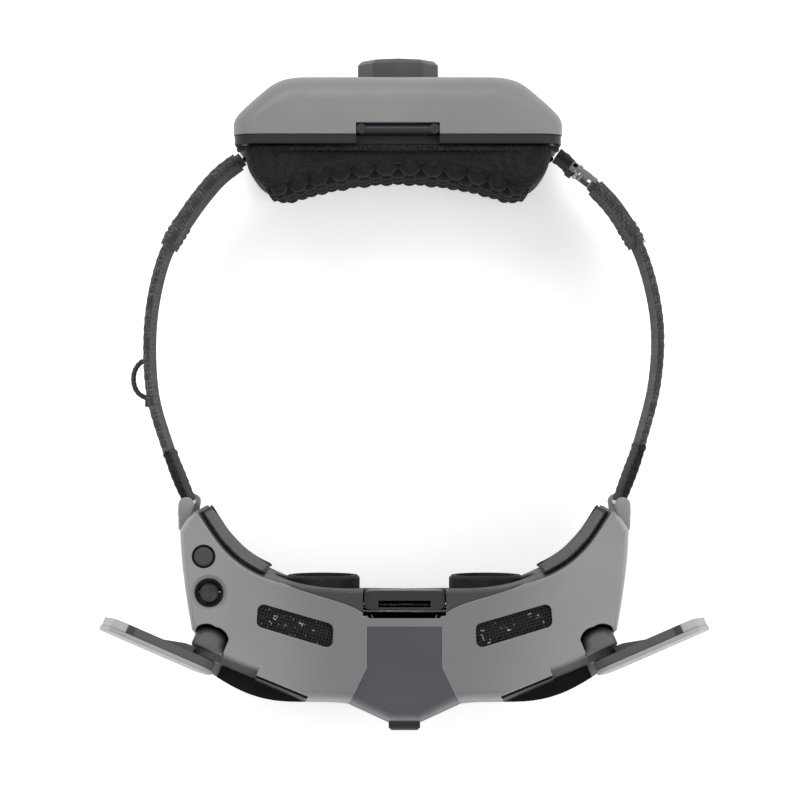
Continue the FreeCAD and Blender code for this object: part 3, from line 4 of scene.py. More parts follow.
import bmesh
import bpy
import numpy as np
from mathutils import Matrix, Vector


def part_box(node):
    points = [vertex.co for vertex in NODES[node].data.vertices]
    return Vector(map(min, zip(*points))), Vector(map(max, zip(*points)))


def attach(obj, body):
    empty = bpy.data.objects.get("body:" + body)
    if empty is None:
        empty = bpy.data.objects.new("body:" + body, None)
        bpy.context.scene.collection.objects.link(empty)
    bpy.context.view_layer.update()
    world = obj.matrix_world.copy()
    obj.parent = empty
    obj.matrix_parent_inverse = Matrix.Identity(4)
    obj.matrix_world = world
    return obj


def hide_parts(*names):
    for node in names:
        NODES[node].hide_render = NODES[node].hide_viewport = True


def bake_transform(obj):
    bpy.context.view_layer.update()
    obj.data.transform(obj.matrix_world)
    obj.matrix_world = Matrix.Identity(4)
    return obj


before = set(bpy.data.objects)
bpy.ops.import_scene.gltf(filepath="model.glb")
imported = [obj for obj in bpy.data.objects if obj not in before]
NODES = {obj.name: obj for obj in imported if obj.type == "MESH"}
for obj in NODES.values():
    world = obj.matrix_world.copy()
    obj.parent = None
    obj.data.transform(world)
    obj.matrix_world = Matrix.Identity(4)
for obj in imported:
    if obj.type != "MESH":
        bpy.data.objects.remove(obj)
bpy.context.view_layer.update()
MM = 0.001
SEED = 7
# the sign of X on the wearer's right and left
SIDES = {"right": -1, "left": 1}


# ---------------------------------------------------------------- the antennas' hinges
# the same numbers as in the CAD part: a turn seen from above, a lean, and the right-hand hinge's centre
HINGE_PLAN, HINGE_LEAN = math.radians(22.5), math.radians(10.0)
HINGE_AT = Vector((-78.4, -104.6, 58.0))
HINGE_OUT = Vector((-math.cos(HINGE_PLAN), math.sin(HINGE_PLAN), 0))
HINGE_AHEAD = Vector((-math.sin(HINGE_PLAN) * math.cos(HINGE_LEAN),
                      -math.cos(HINGE_PLAN) * math.cos(HINGE_LEAN), math.sin(HINGE_LEAN)))
HINGE_RISE = HINGE_OUT.cross(HINGE_AHEAD)


def hinge_point(x, y, z):
    """A place given in the right-hand hinge's own axes, in millimetres."""
    return HINGE_AT + HINGE_OUT * x + HINGE_AHEAD * y + HINGE_RISE * z


# ---------------------------------------------------------------- materials
class Shader:
    """A short way to write a node material."""

    def __init__(self, name):
        self.material = bpy.data.materials.new(name)
        self.material.use_nodes = True
        self.tree = self.material.node_tree
        self.tree.nodes.clear()

    def add(self, kind, inputs=None, out=0, **props):
        """One node with its properties and inputs; gives back the wanted output socket."""
        item = self.tree.nodes.new("ShaderNode" + kind)
        for key, value in props.items():
            setattr(item, key, value)
        for key, value in (inputs or {}).items():
            socket = item.inputs[key]
            if isinstance(value, bpy.types.NodeSocket):
                self.tree.links.new(value, socket)
            else:
                socket.default_value = value
        return item.outputs[out]

    def place(self):
        return self.add("TexCoord", out="Object")

    def math(self, operation, a, b=0.0, c=0.0):
        return self.add("Math", {0: a, 1: b, 2: c}, operation=operation)

    def split(self, vector):
        """The sockets for the parts of a vector: X, Y and Z."""
        item = self.tree.nodes.new("ShaderNodeSeparateXYZ")
        self.tree.links.new(vector, item.inputs[0])
        return item.outputs

    def mix_by(self, share, a, b):
        """A mix of two colours. The node's colour sockets are found by their type."""
        item = self.tree.nodes.new("ShaderNodeMix")
        item.data_type = "RGBA"
        sockets = [s for s in item.inputs if s.type == "RGBA"]
        for socket, value in zip([item.inputs[0]] + sockets, (share, a, b)):
            if isinstance(value, bpy.types.NodeSocket):
                self.tree.links.new(value, socket)
            else:
                socket.default_value = value
        return next(s for s in item.outputs if s.type == "RGBA")

    def noise(self, scale, detail=2.0, place=None, rough=0.5):
        where = place or self.place()
        return self.add("TexNoise", {"Vector": where, "Scale": scale, "Detail": detail, "Roughness": rough})

    def ramp(self, value, low, high, bottom=0.0, top=1.0):
        return self.add("MapRange", {"Value": value, "From Min": low, "From Max": high,
                                     "To Min": bottom, "To Max": top}, interpolation_type="SMOOTHSTEP")

    def finish(self, **inputs):
        """The material, with one principled surface. A name's underscores stand for spaces."""
        surface = self.add("BsdfPrincipled", {key.replace("_", " "): value for key, value in inputs.items()})
        output = self.tree.nodes.new("ShaderNodeOutputMaterial")
        self.tree.links.new(surface, output.inputs["Surface"])
        return self.material


def grey(level, warm=0.0):
    return (level * (1 + warm), level, level * (1 - 0.6 * warm), 1.0)


def shade(colour, factor):
    return tuple(channel * factor for channel in colour[:3]) + (1.0,)


def moulded(name, colour, rough=0.5, grain=0.00003, grain_scale=2600.0, edge=0.0007, wear_and_highlight=0.3, specks=0.06,
            middle=1.0, tip=None, shine=0.4):
    """Moulded plastic: fine spark-eroded grain, slow colour drift, soft edges that are slightly polished and
    made lighter, part edge wear and part painted highlight.

    middle is painted shade: how much darker the colour is made towards the nose. tip is the colour of the
    cap at each antenna's end.
    """
    s = Shader(name)
    place = s.place()
    drift = s.noise(28.0, 3.0, place)
    fine = s.noise(grain_scale, 2.0, place, 0.6)
    smudge = s.noise(90.0, 4.0, place, 0.65)
    soft = s.add("Bevel", {"Radius": edge}, samples=6)
    true = s.add("NewGeometry", out="Normal")
    turn = s.add("VectorMath", {0: soft, 1: true}, out="Value", operation="DOT_PRODUCT")
    rim = s.ramp(turn, 0.995, 0.86)
    tone = s.mix_by(s.ramp(drift, 0.3, 0.7), shade(colour, 0.94), shade(colour, 1.06))
    # painted shade: the colour is made darker towards the nose
    if middle != 1.0:
        parts = s.split(place)
        side = s.math("ABSOLUTE", parts["X"])
        reach = s.math("SUBTRACT", side, s.math("MULTIPLY", parts["Y"], 0.25))
        tone = s.mix_by(s.ramp(reach, 0.045, 0.098), shade(colour, middle), tone)
    if tip:
        ring_from, cap_from, blur = 0.0335, 0.0366, 0.0003
        reaches = []
        for x in (HINGE_AT.x, -HINGE_AT.x):
            hinge = (x * MM, HINGE_AT.y * MM, HINGE_AT.z * MM)
            reaches.append(s.add("VectorMath", {0: place, 1: hinge}, out="Value", operation="DISTANCE"))
        reach = s.math("MINIMUM", *reaches)
        ring = s.math("MULTIPLY", s.ramp(reach, ring_from, ring_from + blur),
                      s.ramp(reach, cap_from, cap_from - blur))
        tone = s.mix_by(s.ramp(reach, cap_from, cap_from + 0.0004), tone, tip)
        tone = s.mix_by(ring, tone, shade(colour, 0.45))
    tone = s.mix_by(s.math("MULTIPLY", s.ramp(fine, 0.35, 0.7), specks), tone, shade(colour, 1.5))
    # edge wear and painted highlight: the soft edges are made lighter and glossier
    worn_lit_edge = s.math("MULTIPLY", rim, s.ramp(smudge, 0.35, 0.65, 0.35, 1.0))
    tone = s.mix_by(s.math("MULTIPLY", worn_lit_edge, wear_and_highlight), tone, shade(colour, 1.7))
    gloss = s.math("ADD", s.ramp(smudge, 0.3, 0.75, -0.05, 0.06), rough)
    gloss = s.math("SUBTRACT", gloss, s.math("MULTIPLY", worn_lit_edge, 0.12))
    normal = s.add("Bump", {"Height": fine, "Distance": grain, "Strength": 0.8, "Normal": soft})
    return s.finish(Base_Color=tone, Roughness=gloss, Normal=normal, Specular_IOR_Level=shine)


def metal(name, colour, rough=0.3, brushed=(1.0, 1.0, 40.0), edge=0.0003):
    """Turned or brushed metal: streaks along one direction, small scratches."""
    s = Shader(name)
    place = s.place()
    stretched = s.add("Mapping", {"Vector": place, "Scale": brushed})
    streak = s.noise(420.0, 3.0, stretched, 0.6)
    dull = s.noise(120.0, 3.0, place)
    soft = s.add("Bevel", {"Radius": edge}, samples=4)
    normal = s.add("Bump", {"Height": streak, "Distance": 0.00002, "Strength": 0.5, "Normal": soft})
    tone = s.mix_by(s.ramp(streak, 0.3, 0.7), shade(colour, 0.85), shade(colour, 1.1))
    gloss = s.math("ADD", s.ramp(dull, 0.3, 0.7, -0.06, 0.1), rough)
    return s.finish(Base_Color=tone, Metallic=1.0, Roughness=gloss, Normal=normal)


def filter_sheet(name):
    """Black filter cloth with a few bright flecks."""
    s = Shader(name)
    bright = s.ramp(s.noise(520.0, 3.0), 0.64, 0.74)
    tone = s.mix_by(bright, grey(0.004), grey(0.12))
    return s.finish(Base_Color=tone, Roughness=0.55)


def mesh_wire(name):
    """Black coated wire with painted glints: bright, glossier patches in places."""
    s = Shader(name)
    place = s.place()
    # painted glints: bright patches on the dark wire
    painted_glint = s.ramp(s.noise(620.0, 3.0, place), 0.62, 0.70)
    tone = s.mix_by(painted_glint, grey(0.020), grey(0.45))
    return s.finish(Base_Color=tone, Roughness=s.math("SUBTRACT", 0.5, s.math("MULTIPLY", painted_glint, 0.2)),
                    Specular_IOR_Level=0.2)


def webbing(name, colour, pitch=1.1):
    """Woven band: warp and weft threads laid out in the piece's own map, in millimetres."""
    s = Shader(name)
    parts = s.split(s.add("UVMap", uv_map="weave"))
    along, across = parts["X"], parts["Y"]
    step = math.pi / pitch
    skew = s.math("ADD", along, s.math("MULTIPLY", across, 0.5))
    warp = s.math("ABSOLUTE", s.math("SINE", s.math("MULTIPLY", across, step * 1.3)))
    weft = s.math("ABSOLUTE", s.math("SINE", s.math("MULTIPLY", along, step)))
    over = s.ramp(s.math("SINE", s.math("MULTIPLY", skew, step)), -0.35, 0.35)
    height = s.math("ADD", s.math("MULTIPLY", warp, over),
                    s.math("MULTIPLY", weft, s.math("SUBTRACT", 1.0, over)))
    fuzz = s.noise(2600.0, 2.0)
    slub = s.noise(240.0, 3.0)
    # painted shade and highlight: the threads' low places are darker and their high places lighter
    depth = s.ramp(height, 0.1, 0.9)
    tone = s.mix_by(depth, shade(colour, 0.12), shade(colour, 1.7))
    tone = s.mix_by(s.math("MULTIPLY", s.ramp(fuzz, 0.52, 0.68), 0.7), tone, shade(colour, 5.0))
    tone = s.mix_by(s.ramp(slub, 0.35, 0.65), tone, shade(colour, 0.9))
    relief = s.math("ADD", height, s.math("MULTIPLY", fuzz, 0.6))
    normal = s.add("Bump", {"Height": relief, "Distance": 0.0002, "Strength": 0.8})
    return s.finish(Base_Color=tone, Roughness=0.85, Normal=normal, Specular_IOR_Level=0.15,
                    Sheen_Weight=0.08, Sheen_Roughness=0.5)


def knit(name, colour, scale=1500.0, relief=0.00012, light=2.2):
    """Knitted or brushed cloth that needs no map: loops from cells, with loose fibres on top."""
    s = Shader(name)
    place = s.place()
    wobble = s.noise(300.0, 2.0, place)
    loops = s.add("TexVoronoi", {"Vector": place, "Scale": scale, "Randomness": 0.55}, out="Distance")
    fibre = s.noise(2800.0, 2.0, place)
    worn = s.noise(45.0, 3.0, place)
    # painted shade and highlight: the loops' edges are darker and their middles lighter
    depth = s.ramp(loops, 0.15, 0.75)
    tone = s.mix_by(depth, shade(colour, 1.5), shade(colour, 0.45))
    tone = s.mix_by(s.math("MULTIPLY", s.ramp(fibre, 0.55, 0.75), 0.45), tone, shade(colour, light))
    tone = s.mix_by(s.math("MULTIPLY", s.ramp(worn, 0.4, 0.7), 0.3), tone, shade(colour, 1.6))
    height = s.math("ADD", s.math("SUBTRACT", 1.0, loops), s.math("MULTIPLY", wobble, 0.4))
    height = s.math("ADD", height, s.math("MULTIPLY", fibre, 0.5))
    normal = s.add("Bump", {"Height": height, "Distance": relief, "Strength": 0.8})
    return s.finish(Base_Color=tone, Roughness=0.88, Normal=normal, Specular_IOR_Level=0.12,
                    Sheen_Weight=0.06, Sheen_Roughness=0.45)


def glass(name):
    s = Shader(name)
    dust = s.noise(700.0, 4.0)
    film = s.ramp(dust, 0.45, 0.8, 0.02, 0.12)
    tint = s.mix_by(s.ramp(s.noise(20.0), 0.3, 0.7), (0.80, 0.86, 0.92, 1), (0.92, 0.9, 0.86, 1))
    return s.finish(Base_Color=tint, Roughness=film, Transmission_Weight=0.85, IOR=1.5, Coat_Weight=0.6,
                    Coat_Tint=(0.6, 0.75, 1.0, 1.0))


def circuit(name, mask, copper):
    """Solder mask with pads and tracks."""
    s = Shader(name)
    place = s.place()
    upright = s.add("Mapping", {"Vector": place, "Rotation": (math.pi / 2, 0, 0)})
    tracks = s.add("TexBrick", {"Vector": upright, "Scale": 160.0, "Mortar Size": 0.02, "Color1": grey(0.0),
                                "Color2": grey(0.2), "Mortar": grey(1.0)}, out="Fac")
    pads = s.add("TexVoronoi", {"Vector": place, "Scale": 260.0}, out="Distance")
    tone = s.mix_by(s.math("MULTIPLY", tracks, 0.5), mask, shade(mask, 2.4))
    tone = s.mix_by(s.ramp(pads, 0.2, 0.14), tone, copper)
    normal = s.add("Bump", {"Height": tracks, "Distance": 0.00005})
    return s.finish(Base_Color=tone, Roughness=0.35, Normal=normal)


def rubber(name, colour, ribs=900.0):
    s = Shader(name)
    place = s.place()
    cells = s.add("TexVoronoi", {"Vector": place, "Scale": ribs}, out="Distance")
    dust = s.noise(160.0, 4.0, place)
    soft = s.add("Bevel", {"Radius": 0.0004}, samples=4)
    tone = s.mix_by(s.ramp(dust, 0.4, 0.75), colour, shade(colour, 2.2))
    normal = s.add("Bump", {"Height": cells, "Distance": 0.00008, "Normal": soft})
    return s.finish(Base_Color=tone, Roughness=s.ramp(dust, 0.3, 0.7, 0.6, 0.8), Normal=normal,
                    Specular_IOR_Level=0.2)


# the light shell carries painted shade towards the nose
LIGHT = moulded("light_shell", (0.213, 0.213, 0.223, 1), 0.42, wear_and_highlight=0.3, middle=0.62)
PACK_LIGHT = moulded("pack_light", grey(0.175, -0.012), 0.45, wear_and_highlight=0.2)
FACE = moulded("antenna_light", grey(0.28), 0.45, wear_and_highlight=0.35)
# painted shade: the nose panel is the shell's grey plastic, made darker for the shade on its forward slope
SHADED_PANEL = moulded("panel_painted_shade", (0.057, 0.057, 0.065, 1), 0.46, wear_and_highlight=0.25, shine=0.25)
COVER = moulded("cover_grey", grey(0.038), 0.55, grain=0.00005, wear_and_highlight=0.35, specks=0.15, shine=0.25)
DARK = moulded("dark_plastic", grey(0.085), 0.5, wear_and_highlight=0.3, specks=0.1)
ANTENNA = moulded("antenna_grey", grey(0.070), 0.5, wear_and_highlight=0.35, specks=0.1, tip=grey(0.34), shine=0.25)
LINER = moulded("black_liner", grey(0.004), 0.55, wear_and_highlight=0.15, shine=0.15)
EYECUP = rubber("eyecup_rubber", grey(0.012), 700.0)
BUTTON = moulded("button_grey", grey(0.045), 0.4, wear_and_highlight=0.9, edge=0.0006, shine=0.25)
RIM = moulded("pack_rim", grey(0.018), 0.45, wear_and_highlight=0.5, shine=0.2)
KNOB = moulded("knob_grey", grey(0.055), 0.42, wear_and_highlight=0.6, edge=0.0009, shine=0.3)
MID = moulded("mid_grey", grey(0.12), 0.45, wear_and_highlight=0.4)
BAR = moulded("bar_grey", grey(0.020), 0.36, wear_and_highlight=0.8, edge=0.0006, shine=0.3)
SMOKE = moulded("smoked_window", grey(0.010), 0.12, grain=0.000005, wear_and_highlight=0.1)
WRAP = moulded("cell_wrap", (0.06, 0.12, 0.26, 1), 0.3, wear_and_highlight=0.2)
STEEL = metal("steel", grey(0.55), 0.28)
LATCH = metal("latch_steel", grey(0.22), 0.4)
ALUMINIUM = metal("aluminium", grey(0.75), 0.35, (1.0, 30.0, 1.0))
COPPER = metal("copper", (0.72, 0.40, 0.24, 1), 0.3)
WIRE = mesh_wire("mesh_wire")
STRAP = webbing("strap_weave", grey(0.040), 1.7)
TAB = webbing("tab_weave", grey(0.016), 1.2)
SLEEVE = knit("sleeve_knit", grey(0.012), 700.0, 0.0003, 12.0)
PAD = knit("pad_knit", grey(0.085), 1500.0, 0.00016, 1.9)
CUSHION = knit("cushion_knit", grey(0.013), 1600.0, 0.00006, 2.0)
THREAD = knit("thread", grey(0.10), 2600.0)
CORD = knit("cord_braid", grey(0.05), 1900.0, 0.0002, 3.0)
GLASS = glass("lens_glass")
BOARD = circuit("board_green", (0.012, 0.07, 0.03, 1), (0.75, 0.5, 0.2, 1))
STICK = rubber("stick_rubber", grey(0.022))
FILTER = filter_sheet("filter_sheet")

FINISH = {
    LIGHT: "top_shell bottom_shell",
    PACK_LIGHT: "pack_rear_shell",
    FACE: "antenna_cover_left antenna_cover_right",
    SHADED_PANEL: "nose_panel",
    COVER: "rear_cover",
    DARK: "hinge_barrels power_button",
    ANTENNA: "antenna_back_left antenna_back_right",
    BUTTON: "back_button",
    EYECUP: "eyepiece_left eyepiece_right",
    LINER: "antenna_trays joystick_bezel optics_frame fan_frame fan_rotor",
    RIM: "pack_front_frame",
    KNOB: "adjust_knob",
    MID: "strap_lugs rack_left rack_right joystick_plunger",
    BAR: "front_strap_bar rear_strap_bar",
    SMOKE: "nose_grille display_left display_right led_window",
    WRAP: "battery_cells",
    STEEL: "ipd_rails strap_pins shell_screws hinge_pin_left hinge_pin_right joystick_gimbal pinion_shaft "
           "audio_jack usb_port pack_usb_port",
    ALUMINIUM: "heat_sink",
    COPPER: "antenna_element_left antenna_element_right",
    GLASS: "lens_left lens_right",
    BOARD: "main_board battery_board",
    STICK: "joystick_cap",
}
for finish, names in FINISH.items():
    for node in names.split():
        slots = NODES[node].data.materials
        slots.clear()
        slots.append(finish)


# ---------------------------------------------------------------- mesh helpers
def piece(name, verts, faces, finish, smooth=True, uvs=None):
    """A new mesh object from millimetres. uvs holds one pair per corner of each face."""
    mesh = bpy.data.meshes.new(name)
    mesh.from_pydata([[c * MM for c in v] for v in verts], [], faces)
    mesh.materials.append(finish)
    if uvs is not None:
        layer = mesh.uv_layers.new(name="weave")
        layer.data.foreach_set("uv", np.array(uvs, np.float32).ravel())
    mesh.validate()
    fixer = bmesh.new()
    fixer.from_mesh(mesh)
    bmesh.ops.recalc_face_normals(fixer, faces=fixer.faces)
    fixer.to_mesh(mesh)
    fixer.free()
    mesh.polygons.foreach_set("use_smooth", [smooth] * len(mesh.polygons))
    item = bpy.data.objects.new(name, mesh)
    bpy.context.scene.collection.objects.link(item)
    return item


def even(points, step):
    """A smooth curve through points, sampled at an even step: distances along it, places and directions."""
    ctrl = np.array(points, float)
    ctrl = np.vstack([2 * ctrl[0] - ctrl[1], ctrl, 2 * ctrl[-1] - ctrl[-2]])
    fine = []
    for a, b, c, d in zip(ctrl, ctrl[1:], ctrl[2:], ctrl[3:]):
        for t in np.linspace(0, 1, 40, endpoint=False):
            fine.append(0.5 * (2 * b + (c - a) * t + (2 * a - 5 * b + 4 * c - d) * t * t
                               + (3 * b - a - 3 * c + d) * t ** 3))
    fine.append(ctrl[-2])
    fine = np.array(fine)
    run = np.concatenate([[0], np.cumsum(np.linalg.norm(np.diff(fine, axis=0), axis=1))])
    count = max(2, round(run[-1] / step)) + 1
    at = np.linspace(0, run[-1], count)
    places = np.stack([np.interp(at, run, fine[:, k]) for k in range(fine.shape[1])], 1)
    way = np.gradient(places, axis=0)
    way /= np.linalg.norm(way, axis=1)[:, None]
    return at, places, way


def band_section(thick, low, high, step):
    """A band's section: offset, level, and whether the point is on one of its two faces."""
    radius, tall = thick / 2, high - low
    rows = max(6, round(tall / step))
    rises = [radius + (tall - thick) * n / rows for n in range(rows + 1)]
    section = [(radius, low + rise, True) for rise in rises]
    for turn in (30, 60, 90, 120, 150):
        angle = math.radians(turn)
        section.append((radius * math.cos(angle), high - radius + radius * math.sin(angle), False))
    section += [(-radius, high - rise, True) for rise in rises]
    for turn in (210, 240, 270, 300, 330):
        angle = math.radians(turn)
        section.append((radius * math.cos(angle), low + radius + radius * math.sin(angle), False))
    return section


def ribbon(name, path, thick, low, high, finish, step=0.8, weave=0.10, cell=1.9, bow=0.0):
    """An upright woven band with rounded edges and the threads' relief in its surface.

    weave is the height of the threads, cell their spacing, and bow how far the band's middle bulges.
    """
    hem_high, hem_in, hem_wide = 0.18, 1.6, 1.1
    at, places, way = even(path, step)
    section = band_section(thick, low, high, step)
    count = len(section)
    across = [0.0]
    for (a, z0, _), (b, z1, _) in zip(section, section[1:]):
        across.append(across[-1] + math.hypot(b - a, z1 - z0))
    across.append(across[-1] + 0.4)
    verts = []
    for s, place, run in zip(at, places, way):
        wave = math.sin(math.pi * s / cell)
        for k, (off, z, on_face) in enumerate(section):
            if on_face:
                relief = weave * wave * math.sin(math.pi * across[k] / cell)
                hem = min(z - low, high - z)
                relief += hem_high * math.exp(-((hem - hem_in) / hem_wide) ** 2)
                push = off + (relief if off > 0 else -relief)
            else:
                push = off + 0.04 * wave
            push += bow * math.sin(math.pi * s / at[-1]) * (1 - ((z - low) / (high - low) * 2 - 1) ** 2)
            verts.append((place[0] - run[1] * push, place[1] + run[0] * push, z))
    faces, uvs = [], []
    for n in range(len(at) - 1):
        for k in range(count):
            m = (k + 1) % count
            faces.append((n * count + k, (n + 1) * count + k, (n + 1) * count + m, n * count + m))
            far = across[k + 1]
            uvs += [(at[n], across[k]), (at[n + 1], across[k]), (at[n + 1], far), (at[n], far)]
    for row, flip in ((0, False), (len(at) - 1, True)):
        cap = [row * count + k for k in range(count)]
        faces.append(tuple(cap if flip else cap[::-1]))
        uvs += [(at[row], across[k]) for k in (range(count) if flip else range(count - 1, -1, -1))]
    return piece(name, verts, faces, finish, uvs=uvs)


def stack(rows):
    """Vertices and faces of closed rings joined one to the next, with a cap at both ends."""
    count = len(rows[0])
    verts = [tuple(place) for row in rows for place in row]
    faces = []
    for n in range(len(rows) - 1):
        for k in range(count):
            m = (k + 1) % count
            faces.append((n * count + k, n * count + m, (n + 1) * count + m, (n + 1) * count + k))
    last = (len(rows) - 1) * count
    faces.append(tuple(range(count - 1, -1, -1)))
    faces.append(tuple(range(last, last + count)))
    return verts, faces


def tube(path, radius, sides=8, twist=0.0, lobes=0, depth=0.0):
    """Vertices and faces of a round cord along 3-D points, with optional twisted lobes."""
    at, places, way = even(path, max(radius * 0.6, 0.25))
    up = np.array([0.0, 0.0, 1.0])
    rows = []
    for s, place, run in zip(at, places, way):
        side = np.cross(run, up)
        if np.linalg.norm(side) < 1e-3:
            side = np.array([1.0, 0, 0])
        side /= np.linalg.norm(side)
        top = np.cross(side, run)
        row = []
        for k in range(sides):
            angle = 2 * math.pi * k / sides
            r = radius * (1 + depth * math.cos(lobes * angle + twist * s))
            row.append(place + side * r * math.cos(angle) + top * r * math.sin(angle))
        rows.append(row)
    return stack(rows)


def collect(parts):
    """Several vertex and face lists as one."""
    verts, faces = [], []
    for some, more in parts:
        base = len(verts)
        verts += [tuple(v) for v in some]
        faces += [tuple(i + base for i in face) for face in more]
    return verts, faces


def box_part(low, high):
    """Vertices and faces of an upright box."""
    x0, y0, z0 = low
    x1, y1, z1 = high
    corners = ((x0, y0), (x1, y0), (x1, y1), (x0, y1))
    return stack([[(x, y, z) for x, y in corners] for z in (z0, z1)])


def on_side(verts, side):
    """Places given for the wearer's right, kept there (-1) or mirrored to the left (1)."""
    return [(-side * x, y, z) for x, y, z in verts]


def mount(item, slot, *nodes, body="visor"):
    """The piece rides a body and stands in for the named CAD nodes; slot is not used."""
    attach(item, body)
    if nodes:
        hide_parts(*nodes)


def round_edges(item, width):
    """Bevels the edges that turn by more than 40 degrees."""
    bevel = item.modifiers.new("edges", "BEVEL")
    bevel.width = width * MM
    bevel.segments = 2
    bevel.limit_method = "ANGLE"
    bevel.angle_limit = math.radians(40)
    return bake(item)


def bake(item):
    """The object's mesh with its modifiers applied."""
    graph = bpy.context.evaluated_depsgraph_get()
    mesh = bpy.data.meshes.new_from_object(item.evaluated_get(graph))
    item.modifiers.clear()
    item.data = mesh
    return item


def coords(item):
    co = np.zeros(len(item.data.vertices) * 3)
    item.data.vertices.foreach_get("co", co)
    return co.reshape(-1, 3)


def set_coords(item, co):
    item.data.vertices.foreach_set("co", np.ascontiguousarray(co, dtype=np.float32).ravel())
    item.data.update()


def refine(item):
    """One level of subdivision, applied, with smooth shading."""
    smooth = item.modifiers.new("smooth", "SUBSURF")
    smooth.levels = 1
    smooth.render_levels = 1
    bake(item)
    item.data.polygons.foreach_set("use_smooth", [True] * len(item.data.polygons))


def inflate(item, voxel, cap, pressure, frames=20):
    """Padded fabric: remesh, swell under pressure as cloth and limit how far each point moves."""
    remesh = item.modifiers.new("remesh", "REMESH")
    remesh.mode = "VOXEL"
    remesh.voxel_size = voxel * MM
    bake(item)
    before = coords(item)
    cloth = item.modifiers.new("cloth", "CLOTH")
    cloth.settings.quality = 5
    cloth.settings.mass = 0.2
    cloth.settings.use_pressure = True
    cloth.settings.uniform_pressure_force = pressure
    cloth.settings.effector_weights.gravity = 0
    cloth.collision_settings.use_self_collision = False
    cloth.point_cache.frame_start = 1
    cloth.point_cache.frame_end = frames
    scene = bpy.context.scene
    for number in range(1, frames + 1):
        scene.frame_set(number)
    bake(item)
    scene.frame_set(1)
    travel = coords(item) - before
    far = np.linalg.norm(travel, axis=1)
    share = np.minimum(1, cap * MM / np.maximum(far, 1e-9))
    set_coords(item, before + travel * share[:, None])


# ---------------------------------------------------------------- headband
RIGHT = [(-63.7, 92.4), (-74.6, 83.6), (-87.2, 66.9), (-95.3, 50.7), (-99.8, 27.0), (-99.0, 0.0),
         (-92.4, -23.0), (-90.6, -28.0)]
LEFT = [(73.6, 82.6), (83.4, 71.6), (93.6, 53.5), (99.3, 28.7), (98.4, 4.0), (92.4, -20.0), (90.6, -25.0)]
BAND_LOW, BAND_HIGH = 19.0, 51.0
BAND_THICK, FOLD_THICK = 2.2, 4.6
FOLD_FACE = 2.36
STITCH_EVERY, STITCH_LONG, THREAD_RADIUS = 2.6, 1.872, 0.24


def rides_band(item, *nodes, slot="strap_fabric"):
    """Webbing between visor and pack: it stands in for the named CAD nodes, with its placement applied to
    its mesh.
    """
    if nodes:
        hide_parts(*nodes)
    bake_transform(item)


def offset(path, by):
    """A plan path moved to its left."""
    _, places, way = even(path, 6.0)
    return [(p[0] - w[1] * by, p[1] + w[0] * by) for p, w in zip(places, way)]


def follow(path):
    """A function that gives the plan point at a distance along the path and an offset to its left."""
    at, places, way = even(path, 0.5)

    def point(where, by):
        p = [np.interp(where, at, places[:, k]) for k in (0, 1)]
        w = [np.interp(where, at, way[:, k]) for k in (0, 1)]
        return p[0] - w[1] * by, p[1] + w[0] * by

    return point


def stitch(point, by, where, level, run=0.0, rise=0.0):
    """One stitch on a band's face: it goes on along the band by run and up it by rise."""
    arc = []
    for t in np.linspace(0, 1, 5):
        bulge = by + math.copysign(0.30 * math.sin(math.pi * t) - 0.05, by)
        arc.append((*point(where + t * run, bulge), level + t * rise))
    return tube(arc, THREAD_RADIUS, 6)


def starts(low, high):
    """Where the stitches of a row begin."""
    found = []
    while low + STITCH_EVERY * 0.7 < high:
        found.append(low)
        low += STITCH_EVERY
    return found


def stitches(path, by, start, end, low, high):
    """The threads of one face of a fold: two rows along it and a bar tack across it at each end."""
    point = follow(path)
    parts = []
    for level in (low, high):
        parts += [stitch(point, by, where, level, run=STITCH_LONG) for where in starts(start, end)]
    for where in (start, end - 0.2):
        parts += [stitch(point, by, where, level, rise=STITCH_LONG) for level in starts(low, high)]
    return parts


def headband():
    """Both bands, the doubled stretch of each next to the pack, and the threads that hold it."""
    # path, how far the doubled stretch reaches along it, and which way the middle bulges
    bands = {"right": (RIGHT, 47.5, -1), "left": (LEFT, 33.5, 1)}
    for side, (path, _, sign) in bands.items():
        band = ribbon(f"band_{side}", path, BAND_THICK, BAND_LOW, BAND_HIGH, STRAP, bow=0.4 * sign)
        rides_band(band, f"strap_band_{side}")
    seams = []
    for side, (path, reach, _) in bands.items():
        at, places, _ = even(path, 1.0)
        part = [tuple(p) for s, p in zip(at, places) if 1.0 < s < reach][::4]
        low, high = BAND_LOW + 0.4, BAND_HIGH - 0.4
        rides_band(ribbon(f"band_fold_{side}", part, FOLD_THICK, low, high, STRAP, weave=0.14))
        for face in (-FOLD_FACE, FOLD_FACE):
            seams += stitches(path, face, reach - 12, reach - 3, BAND_LOW + 3, BAND_HIGH - 3)
    rides_band(piece("band_stitches", *collect(seams), THREAD))


def sleeve(side, path):
    """A padded knitted sleeve with a hem at each end, round the eye of the band's pin."""
    middle, half, rings, quilt = 35.0, 16.4, 40, 3.1
    at, places, way = even(path, 0.9)
    rows = []
    for s, place, run in zip(at, places, way):
        ripple = 2 * math.pi * s / quilt
        hem = 0.5 * math.exp(-((s - 1.2) / 0.9) ** 2) + 0.4 * math.exp(-((at[-1] - s - 1.2) / 0.9) ** 2)
        fat = 1.75 + 0.5 * math.sin(math.pi * s / at[-1]) + hem + 0.12 * math.sin(ripple)
        row = []
        for k in range(rings):
            angle = 2 * math.pi * k / rings
            c, z = math.cos(angle), math.sin(angle)
            off = fat * math.copysign(abs(c) ** 0.55, c)
            rise = math.copysign(abs(z) ** 0.75, z) * (half + 0.25 * math.sin(ripple + k))
            row.append((place[0] - run[1] * off, place[1] + run[0] * off, middle + rise))
        rows.append(row)
    rides_band(piece(f"sleeve_{side}", *stack(rows), SLEEVE), f"strap_sleeve_{side}", slot="sleeve_fabric")


